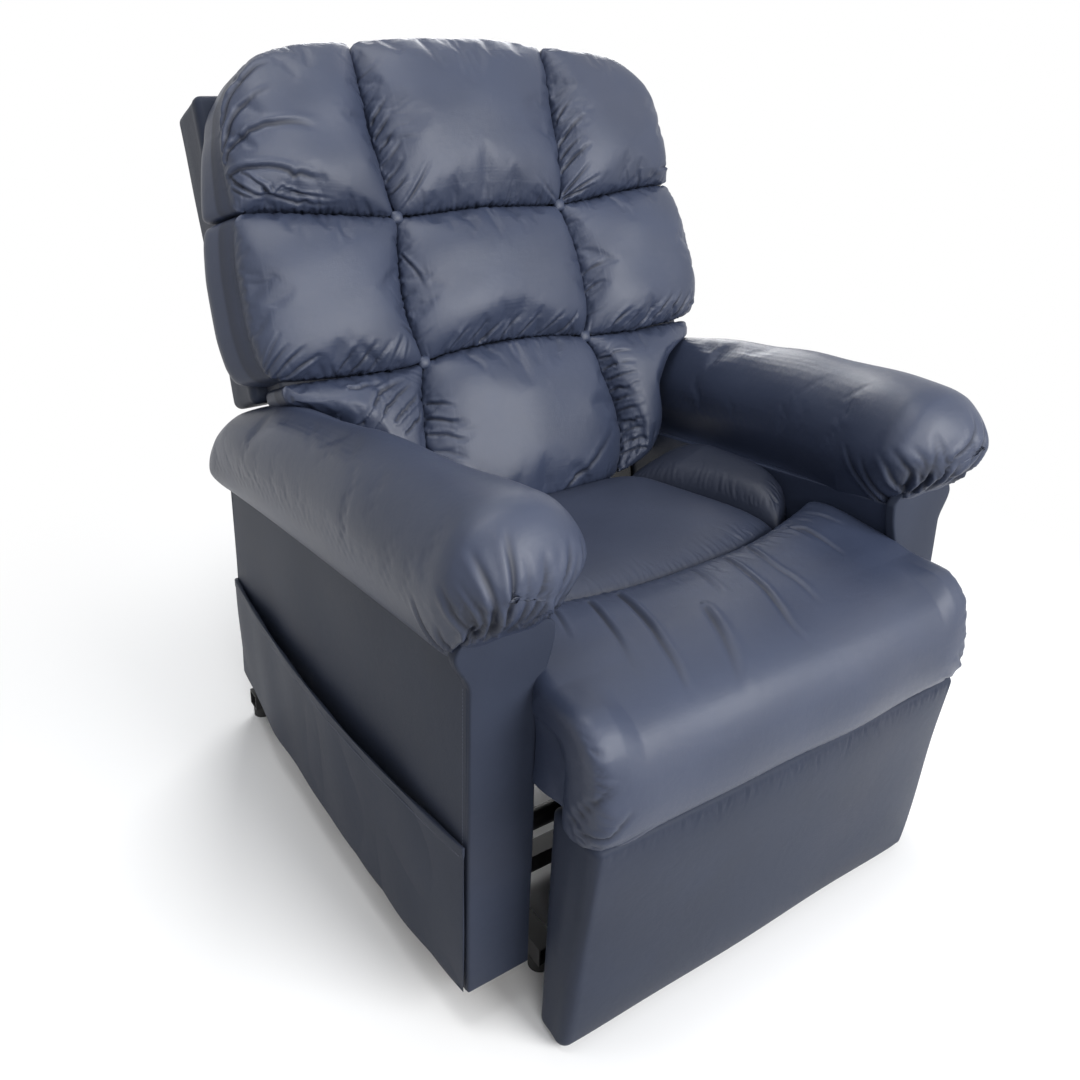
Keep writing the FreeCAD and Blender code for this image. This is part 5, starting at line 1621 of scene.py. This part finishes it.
@dataclass
class ArmPanels:
    """Front, outer and inner panels of an arm, covered in flat vinyl over thin foam."""

    shop: Workshop
    side: int
    front: tuple = (((333, 72), (333, 435), (329, 490), (311, 552), (309, 572), (325, 592)),
                    ((427, 72), (427, 522), (446, 570), (439, 586)),
                    ((333, 72), (427, 72)),
                    ((325, 592), (364, 598), (412, 596), (439, 586)))
    depth: float = 832.0

    def build(self) -> None:
        """Make the three panels and their seams."""
        name = "left" if self.side > 0 else "right"
        k = self.side
        front = Outline(*self.front) if k > 0 else Outline(*self.front).mirrored()
        board = Board(front, lambda a, b, c: np.stack([a, 8.0 - c, b], -1), 17.0, 4.5, 1.5, 3.6)
        self.shop.panel("arm_front_" + name, board, (31, 0.8, 200), "arm_front_panel_" + name)
        start, end, low = 3.0, self.depth, 72.0
        top = lambda y: 572.0 - 0.11 * y
        flip = lambda rows: tuple((start + end - y, z) for y, z in rows)
        shape = (((start, low), (start, top(start))), ((end, low), (end, top(end))), ((start, low), (end, low)),
                 ((start, top(start)), (end, top(end))))
        ahead = Outline(*shape)
        turned = Outline(flip(shape[1]), flip(shape[0]), flip(shape[2])[::-1], flip(shape[3])[::-1])
        outer = {1: (ahead, lambda a, b, c: np.stack([422.5 + c, a, b], -1)),
                 -1: (turned, lambda a, b, c: np.stack([-422.5 - c, start + end - a, b], -1))}[k]
        board = Board(*outer, 9.0, 3.5, 2.0, 5.0)
        self.shop.panel("arm_outside_" + name, board, (33, 1.2, 240), "arm_outer_panel_" + name)

        def lean(high: Points) -> Points:
            """The inside panel leans in to meet the pad."""
            return 17.0 * np.clip((np.asarray(high) - 490) / 90, 0, 1) ** 1.5

        inner = {1: (turned, lambda a, b, c: np.stack([338.0 - c - lean(b), start + end - a, b], -1)),
                 -1: (ahead, lambda a, b, c: np.stack([c - 338.0 + lean(b), a, b], -1))}[k]
        board = Board(*inner, 11.0, 3.5, 0.6, 5.0)
        self.shop.panel("arm_inside_" + name, board, (35, 1.2, 200), "arm_inner_panel_" + name, Finish.VINYL_PADDED)
        rear = plain(47.0, 72.0, 474.0)
        board = Board(rear, lambda a, b, c: np.stack([k * 380.0 - a, 833.0 + c, b], -1), 7.0, 3.0, 1.0, 5.0)
        self.shop.panel("arm_rear_" + name, board, (37, 0.8, 160))
        heights = np.linspace(90, 520, 60)
        seam = np.stack([np.full(60, k * 427.6), np.full(60, 13.0), heights], -1)
        Stitching().sew("arm_stitches_" + name, [seam], self.shop, "chair_frame")


@dataclass
class SidePocket:
    """The pocket sewn along the bottom and both ends of the right arm, gaping at its hem.

    Attributes:
        reach: how far the hem hangs away from the arm at its middle.
        thick: thickness of the doubled vinyl.
    """

    shop: Workshop
    reach: float = 23.0
    thick: float = 2.6

    def place(self, along: Points, high: Points, out: Points) -> Points:
        """Points of the pocket's panel, bowed away from the arm."""
        y = 830.0 - np.asarray(along)
        rise = np.clip((np.asarray(high) - 74.0) / 225.0, 0, 1.1)
        bow = self.reach * np.sin(np.pi * np.clip(y, 0, 830) / 830.0) ** 0.8 * (0.82 + 0.18 * rise)
        return np.stack([-429.3 - self.thick / 2 - bow - np.asarray(out), y, np.asarray(high)], -1)

    def build(self) -> None:
        """Make the panel and the stitches of its hem."""
        outline = Outline(((0, 74), (0, 274)), ((827, 74), (827, 306)), ((0, 74), (827, 74)),
                          ((0, 274), (420, 284), (827, 306)))
        skin = Board(outline, self.place, self.thick, 1.2, 0.0, 4.0).surface()
        hem = np.clip((skin.cube[:, 1] - 0.85) / 0.02, 0, 1)
        skin.points[:, 0] -= hem * np.sign(skin.cube[:, 2]) * 1.0
        drape = Drape(skin)
        drape.wave(41, 2.4, 170, 1.0)
        panel = self.shop.piece("pocket", skin, Finish.VINYL_PANEL, "chair_frame", ["side_pocket"])
        share = np.linspace(0.01, 0.99, 120)
        top = polyline(outline.top, share)
        rough = self.place(top[:, 0], top[:, 1] - 17.0, np.full(len(share), self.thick / 2 + 3.0))
        rows = drape.on_surface(rough) + np.array([-0.2, 0, 0])
        hem_thread = Stitching().sew("pocket_hem_stitches", [rows], self.shop, "chair_frame")


@dataclass
class SeatCushion:
    """The seat: a flat middle panel between two raised bolsters, on a common core.

    Attributes:
        side: x and y of the seam between the deck and the left bolster, from the front.
        deck_shade: painted shade laid over the whole sheltered deck, as a share of the painted shade deep in a fold.
        bolster_shade: the same for the bolsters.
    """

    shop: Workshop
    side: tuple = ((256, 161), (244, 250), (214, 379), (190, 478))
    deck_shade: float = 0.5
    bolster_shade: float = 0.7

    def build(self) -> None:
        """Make the deck, the bolsters and the core."""
        core = Board(plain(321.0, -42.0, 476.0), lambda a, b, c: np.stack([a, b, 432.0 + c], -1), 62.0, 10.0, 0.0, 20.0)
        self.shop.piece("seat_core", core.surface(), Finish.VINYL_PADDED, "chair_frame", ["seat_cushion"], 0.9)
        deck = Outline(tuple((-x, y) for x, y in self.side), self.side,
                       ((-256, 161), (-130, 138), (0, 132), (130, 138), (256, 161)),
                       ((-190, 478), (0, 480), (190, 478)))

        def deck_place(a: Points, b: Points, c: Points) -> Points:
            """The deck falls away a little under the back and rises to the bolsters."""
            high = np.clip(np.asarray(c) / 50, 0, 1)
            drop = 14.0 * np.clip((np.asarray(b) - 400) / 80, 0, 1) ** 1.5
            lift = 7.0 * np.clip(np.abs(a) / 250, 0, 1) ** 2
            return np.stack([a, b, 450.0 + c + (lift - drop) * high], -1)

        pad = Pad(deck.shrunk(0.5), deck_place, 54.0, 46.0, corner=22.0, front=5.0, rear=9.0, cells=2.6)
        skin = pad.surface()
        drape = Drape(skin)
        drape.wave(51, 1.8, 210, np.clip(skin.cube[:, 2] * 2, 0, 1))
        drape.lay(pad.gathered("bottom", 61, 4.8, (14, 46), 0.1, 2.4, 1.7, (0.01, 0.99), 46.0)
                  + pad.gathered("left", 62, 15, (10, 22), 0.1, 1.6, 2.2, out=44.0)
                  + pad.gathered("right", 63, 15, (10, 22), 0.1, 1.6, 2.2, out=44.0))
        # painted shade on the deck's sides down to its seam, then painted shade over the whole deck
        skin.add_painted_shade(np.clip(0.62 - skin.cube[:, 2], 0, 1) * (skin.cube[:, 2] > -0.3))
        skin.add_painted_shade(self.deck_shade)
        self.shop.piece("seat_deck", skin, Finish.VINYL_PADDED, "chair_frame", ["seat_cushion"], 0.8)
        bolster = Outline(self.side, ((325, 208), (328, 300), (328, 400), (322, 478)),
                          ((256, 161), (290, 181), (325, 208)), ((190, 478), (250, 480), (322, 478)))
        for name, outline in (("left", bolster), ("right", bolster.mirrored())):
            def place(a: Points, b: Points, c: Points) -> Points:
                """The bolster rises towards the arm and falls away under the back."""
                high = np.clip(np.asarray(c) / 50, 0, 1)
                rise = 40.0 * np.clip((np.abs(a) - 195) / 120, 0, 1) ** 0.75 + 6.0
                drop = 24.0 * np.clip((np.asarray(b) - 380) / 100, 0, 1) ** 1.3
                return np.stack([a, b, 450.0 + c + (rise - drop) * high], -1)
            pad = Pad(outline.shrunk(0.5), place, 54.0, 46.0, corner=16.0, front=3.6, rear=9.0, cells=2.6)
            skin = pad.surface()
            drape = Drape(skin)
            drape.wave(71, 1.4, 160, np.clip(skin.cube[:, 2] * 2, 0, 1))
            drape.lay(pad.gathered("bottom", 64, 5.4, (12, 36), 0.1, 2.4, 1.8, (0.01, 0.99), 40.0)
                      + pad.gathered(name, 65, 12, (10, 30), 0.2, 1.8, 2.2, out=38.0))
            # painted shade on the bolster's sides down to its seam, then painted shade over the whole bolster
            skin.add_painted_shade(np.clip(0.62 - skin.cube[:, 2], 0, 1) * (skin.cube[:, 2] > -0.3))
            skin.add_painted_shade(self.bolster_shade)
            self.shop.piece("seat_bolster_" + name, skin, Finish.VINYL_PADDED, "chair_frame", ["seat_cushion"], 0.8)


@dataclass
class ChaiseRoll:
    """The long pad from the seat's front seam over the roll and down to the legrest panel.

    Attributes:
        outside: y and z of its outer face, from the front seam to the lower seam.
        inside: y and z of its inner face.
    """

    shop: Workshop
    outside: tuple = ((128, 489), (118, 502), (98, 509), (60, 513), (10, 513), (-40, 508), (-84, 498), (-114, 482),
                      (-133, 456), (-143, 426), (-146, 398), (-144, 376), (-137, 360), (-124, 350), (-90, 345))
    inside: tuple = ((128, 458), (118, 458), (98, 458), (60, 458), (10, 458), (-20, 458), (-44, 458), (-52, 448),
                     (-55, 430), (-56, 410), (-56, 392), (-56, 372), (-57, 360), (-60, 352), (-70, 346))

    def place(self, a: Points, share: Points, c: Points) -> Points:
        """Points of the pad.

        Args:
            a: from -1 to 1 across.
            share: from 0 at the front seam to 1 at the lower seam.
            c: 1 on the outer face and -1 on the inner one.

        Returns:
            Rows of x, y, z.
        """
        a, share = np.asarray(a), np.clip(share, 0, 1)
        outer, inner = polyline(self.outside, share), polyline(self.inside, share)
        mix = ((1 + np.asarray(c)) / 2)[:, None]
        spot = inner * (1 - mix) + outer * mix
        over = mix[:, 0]
        seat = np.clip((outer[:, 0] + 30) / 120, 0, 1)
        width = 322.0 + 18.0 * (1 - seat)
        side = np.abs(a)
        end = np.clip((side - 0.78) / 0.22, 0, 1) ** 2
        front = np.clip((20 - outer[:, 0]) / 120, 0, 1)
        lift = (18.0 * side ** 4 * seat + 6.0 * side ** 2 * seat) * over
        shift = 34.0 * side ** 2.4 * np.clip((outer[:, 0] - 20) / 100, 0, 1) + 3.0 * end * front * over
        ahead = np.exp(-((outer[:, 0] + 100) / 42) ** 2)
        drop = 4.0 - 16.0 * np.clip((outer[:, 1] - 400) / 40, 0, 1)
        drop = drop * np.clip((side - 0.8) / 0.08, 0, 1) * ahead * over
        below = np.clip((466 - outer[:, 1]) / 30, 0, 1) * (share > 0.4)
        shift = shift + 8.0 * end * below * over
        across = a * (width - 2.0 * below) - 3.0 * (1 - seat)
        return np.stack([across, spot[:, 0] + shift, spot[:, 1] + lift - drop], -1)

    def surface(self) -> Skin:
        """The closed pad."""
        lines = [edged(330.0, 26.0, 2.9), edged(250.0, 10.0, 2.9), edged(30.0, 10.0, 8.0)]
        cube, quads, tris = box_grid(*lines)
        half = np.array([330.0, 250.0, 30.0])
        box = rounded(cube, half, 16.0) / half
        share = (1 - box[:, 1]) / 2
        points = self.place(box[:, 0], share, box[:, 2])
        return Skin(points, quads, tris, box, np.zeros(len(box)))

    def build(self) -> None:
        """Make the pad and the gussets beside it."""
        skin = self.surface()
        drape = Drape(skin)
        drape.wave(81, 2.4, 230, np.clip(skin.cube[:, 2] * 2, 0, 1))
        drape.lay(self.folds() + self.shop.creases.of("chaise_roll"))
        # painted shade along the seam where the roll meets the seat
        skin.add_painted_shade(np.clip(1 - (1 - skin.cube[:, 1]) / 0.03, 0, 1) * 0.8)
        obj = make_object("chaise_roll", skin, self.shop.frame)
        self.shop.dress(obj, Finish.VINYL_PADDED)
        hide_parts("front_roll")
        start, end = self.shop.frame.metres(np.array([[0, -60.0, 500.0], [0, -130.0, 450.0]]))
        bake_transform(obj)
        LOG.info("chaise_roll: %d points", len(obj.data.vertices))
        self.gussets()

    def gussets(self) -> None:
        """Vinyl sides that close the seat's front corners beside the roll."""
        ahead, behind, whole = -82.0, -1.5, None
        for k, face in ((-1, 333.0), (1, 331.5)):
            rise = ((ahead, 456), (-60, 480), (behind, 500))
            low = ((ahead, 368), (behind, 366))
            place = lambda a, b, c: np.stack([face + c, a, b], -1)
            if k < 0:
                turn = lambda side: tuple((ahead + behind - y, z) for y, z in reversed(side))
                rise, low = turn(rise), turn(low)
                place = lambda a, b, c: np.stack([-face - c, ahead + behind - a, b], -1)
            outline = Outline((low[0], rise[0]), (low[-1], rise[-1]), low, rise)
            skin = Board(outline, place, 8.0, 3.0, 1.0, 3.0).surface()
            Drape(skin).wave(13, 1.4, 60, np.clip(skin.cube[:, 2] * 3, 0, 1))
            whole = skin if whole is None else whole.joined(skin)
        self.shop.piece("seat_gussets", whole, Finish.VINYL_PADDED, "chair_frame", ["seat_cushion"], 0.6)

    def folds(self) -> list[Fold]:
        """Small gathers along the front and lower seams and at both ends."""
        share = np.linspace(-0.96, 0.96, 60)
        one = np.ones(60)
        front = self.place(share, 0.035 * one, one)
        front_way = self.place(share, 0.12 * one, one) - front
        low = self.place(share, 0.965 * one, one)
        low_way = self.place(share, 0.88 * one, one) - low
        up, ahead = np.tile([0.0, -0.2, 1.0], (60, 1)), np.tile([0.0, -1.0, -0.3], (60, 1))
        folds = (gathers(97, front, front_way, up, 8.0, (14, 46), 0.25, 2.8, 2.2)
                 + gathers(98, low, low_way, ahead, 11.0, (10, 34), 0.1, 2.0, 2.3))
        for k in (-1, 1):
            down = np.linspace(0.50, 0.94, 40)
            rim = self.place(np.full(40, 0.985 * k), down, one[:40] * 0.8)
            inward = self.place(np.full(40, 0.86 * k), down, one[:40] * 0.8) - rim
            outward = np.tile([0.3 * k, -1.0, 0.0], (40, 1))
            folds += gathers(99 + k, rim, inward, outward, 15.0, (16, 48), 0.35 * k, 2.6, 2.8)
            knot = [(k * 330, -100, 362), (k * 318, -128, 384), (k * 296, -142, 410)]
            folds += [Fold(tuple(knot), 6.0, 4.0, 0.6, 0.8),
                      Fold(((k * 326, -100, 360), (k * 300, -120, 366), (k * 262, -132, 378)), 5.0, 3.4, -0.6, 0.8),
                      Fold(((k * 331, -88, 372), (k * 330, -112, 408), (k * 322, -132, 452)), 5.0, 3.6, 0.6, 0.7)]
        return folds


@dataclass
class LegrestPanel:
    """The covered panel under the roll."""

    shop: Workshop
    half: float = 340.0
    low: float = 5.0
    high: float = 350.0
    face: float = -85.0
    back: float = -32.0

    def build(self) -> None:
        """Make the panel."""
        middle, thick = (self.face + self.back) / 2, self.back - self.face

        def place(a: Points, b: Points, c: Points) -> Points:
            """The face leans forward to the roll's seam at the top."""
            down = np.clip((self.high - np.asarray(b)) / (self.high - self.low), 0, 1)
            ahead = np.clip(0.5 + np.asarray(c) / thick, 0, 1)
            return np.stack([a * (1 - 0.018 * (1 - down)), middle - c - 40.0 * ahead * (1 - down), b], -1)

        outline = plain(self.half, self.low, self.high)
        skin = Board(outline, place, thick, 13.0, 13.0, 3.0).surface()
        pad = Pad(outline, place, thick / 2 + 4, thick / 2)
        drape = Drape(skin)
        drape.wave(91, 1.8, 240, np.clip(skin.cube[:, 2] * 2, 0, 1))
        drape.lay(pad.gathered("top", 95, 5.0, (12, 34), 0.05, 1.9, 1.8, (0.01, 0.99), 44.0))
        self.shop.piece("legrest_panel", skin, Finish.VINYL_PANEL, "legrest", ["legrest_cover"], 0.9)


class Mechanism:
    """Everything of the frame that keeps its own shape."""

    def dress(self, shop: Workshop, nodes: dict[str, bpy.types.Object], record: dict) -> None:
        """Give each shown part of the frame the finish of its slot.

        Args:
            shop: the workshop.
            nodes: the frame's parts by name.
            record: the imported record.
        """
        slots = {part["node"]: part["material_slot"] for part in record["subparts"]}
        for name, obj in nodes.items():
            material = shop.materials[Finish(slots[name])]
            if not obj.data.materials:
                obj.data.materials.append(material)
            for place in obj.material_slots:
                place.material = material


# ---- studio --------------------------------------------------------------------------------------------
@dataclass(frozen=True)
class Studio:
    """A pale floor, soft lamps and the camera.

    Attributes:
        rays: the kinds of ray that see the surroundings as plain white.
        lamps: the name, place, aim, size and power of each lamp, in metres and watts.
        eye: the camera's place in metres, measured from the middle of the chair on the floor.
        yaw: turn from straight ahead to the right, in degrees.
        pitch: how far it looks down, in degrees.
        roll: tilt of the horizon, in degrees.
        lens: focal length in millimetres.
        shift: sideways and upward shift of the frame.
    """

    eye: tuple[float, float, float] = (-0.909, -1.194733, 1.183)
    yaw: float = 32.765
    pitch: float = 19.505
    roll: float = 0.728
    lens: float = 32.687
    shift: tuple[float, float] = (0.0434, -0.1173)
    rays: tuple[str, ...] = ("Is Camera Ray", "Is Glossy Ray", "Is Transmission Ray")
    lamps: tuple = (("key", (1.0, -3.3, 2.0), (0.0, 0.0, 0.6), 2.1, 148.0),
                    ("front", (-1.4, -3.2, 2.0), (0.0, 0.0, 0.5), 1.5, 36.0),
                    ("overhead", (-0.5, -0.3, 3.3), (0.0, 0.1, 0.6), 1.4, 36.0),
                    ("back", (1.5, 2.7, 2.0), (0.0, 0.2, 0.8), 1.9, 85.0))

    def camera(self) -> None:
        """Set up the camera."""
        yaw, pitch, roll = (math.radians(angle) for angle in (self.yaw, self.pitch, self.roll))
        ahead = Vector((math.sin(yaw) * math.cos(pitch), math.cos(yaw) * math.cos(pitch), -math.sin(pitch)))
        right = Vector((math.cos(yaw), -math.sin(yaw), 0.0))
        up = right.cross(ahead)
        side = right * math.cos(roll) + up * math.sin(roll)
        top = -right * math.sin(roll) + up * math.cos(roll)
        data = bpy.data.cameras.new("camera")
        data.sensor_width = 36.0
        data.lens = self.lens
        data.shift_x, data.shift_y = self.shift
        data.clip_start, data.clip_end = 0.05, 60.0
        camera = bpy.data.objects.new("camera", data)
        camera.matrix_world = Matrix((side, top, -ahead)).transposed().to_4x4()
        camera.location = self.eye
        bpy.context.scene.collection.objects.link(camera)
        bpy.context.scene.camera = camera

    def lamp(self, name: str, place: tuple[float, float, float], aim: tuple[float, float, float], size: float,
             power: float) -> None:
        """One soft square lamp.

        Args:
            name: the lamp's name.
            place: where it hangs.
            aim: what it points at.
            size: length of its side.
            power: in watts.
        """
        data = bpy.data.lights.new(name, "AREA")
        data.shape, data.size, data.energy = "SQUARE", size, power
        lamp = bpy.data.objects.new(name, data)
        lamp.location = place
        lamp.rotation_euler = (Vector(aim) - Vector(place)).to_track_quat("-Z", "Y").to_euler()
        bpy.context.scene.collection.objects.link(lamp)

    def floor(self) -> None:
        """A pale floor that fades into the white round it."""
        size = 14.0
        mesh = bpy.data.meshes.new("floor")
        mesh.from_pydata([(-size, -size, 0), (size, -size, 0), (size, size, 0), (-size, size, 0)], [], [(0, 1, 2, 3)])
        floor = bpy.data.objects.new("floor", mesh)
        bpy.context.scene.collection.objects.link(floor)
        paint = Paint("floor_white")
        look = paint.add("ShaderNodeLightPath", {}, {})
        shown = sum((look.value(ray) for ray in self.rays[1:]), look.value(self.rays[0])).band(0.0, 1.0)
        pale = paint.mix(shown, (0.30, 0.30, 0.31), (0.97, 0.97, 0.97))
        paint.set(Base_Color=pale, Roughness=0.9, Specular_IOR_Level=0.1)
        glow = paint.add("ShaderNodeEmission", {}, {"Color": (1.0, 1.0, 1.0), "Strength": 1.0})
        away = paint.add("ShaderNodeVectorMath", {"operation": "LENGTH"}, {0: paint.place}).value("Value")
        mixed = paint.add("ShaderNodeMixShader", {}, {0: away.band(0.75, 1.7) * shown, 1: paint.shader, 2: glow})
        paint.link(mixed.out(), paint.output.node.inputs["Surface"])
        mesh.materials.append(paint.material)

    def world(self) -> None:
        """White to the camera and to mirrors, and a soft grey light on the chair."""
        world = bpy.data.worlds.new("studio")
        bpy.context.scene.world = world
        world.use_nodes = True
        tree = world.node_tree
        tree.nodes.clear()
        out, mix = tree.nodes.new("ShaderNodeOutputWorld"), tree.nodes.new("ShaderNodeMixShader")
        soft, white = tree.nodes.new("ShaderNodeBackground"), tree.nodes.new("ShaderNodeBackground")
        soft.inputs["Color"].default_value, soft.inputs["Strength"].default_value = (0.93, 0.96, 1.0, 1.0), 0.32
        white.inputs["Color"].default_value, white.inputs["Strength"].default_value = (1.0, 1.0, 1.0, 1.0), 1.0
        path, total = tree.nodes.new("ShaderNodeLightPath"), None
        for ray in self.rays:
            add = tree.nodes.new("ShaderNodeMath")
            add.operation, add.use_clamp, add.inputs[1].default_value = "ADD", True, 0.0
            tree.links.new(path.outputs[ray], add.inputs[0])
            if total is not None:
                tree.links.new(total.outputs[0], add.inputs[1])
            total = add
        tree.links.new(total.outputs[0], mix.inputs[0])
        tree.links.new(soft.outputs[0], mix.inputs[1])
        tree.links.new(white.outputs[0], mix.inputs[2])
        tree.links.new(mix.outputs[0], out.inputs[0])

    def build(self) -> None:
        """Set up the whole studio."""
        self.camera()
        self.floor()
        self.world()
        for lamp in self.lamps:
            self.lamp(*lamp)
        bpy.context.scene.view_settings.view_transform = "Standard"


def main() -> None:
    """Dress the whole chair."""
    logging.basicConfig(level=logging.INFO, format="%(name)s %(message)s")
    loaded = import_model()
    Studio().build()
    shop = Workshop(Frame(front=float(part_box("arm_front_panel_left")[0].y)))
    Mechanism().dress(shop, loaded["nodes"], loaded["record"])
    BackCushions(shop).build()
    BackCover(shop).build()
    for side in (1, -1):
        ArmPad(shop, side).build()
        ArmPanels(shop, side).build()
    SidePocket(shop).build()
    SeatCushion(shop).build()
    ChaiseRoll(shop).build()
    LegrestPanel(shop).build()
    LOG.info("made %d pieces", len(shop.made))


if __name__ == "__main__":
    main()
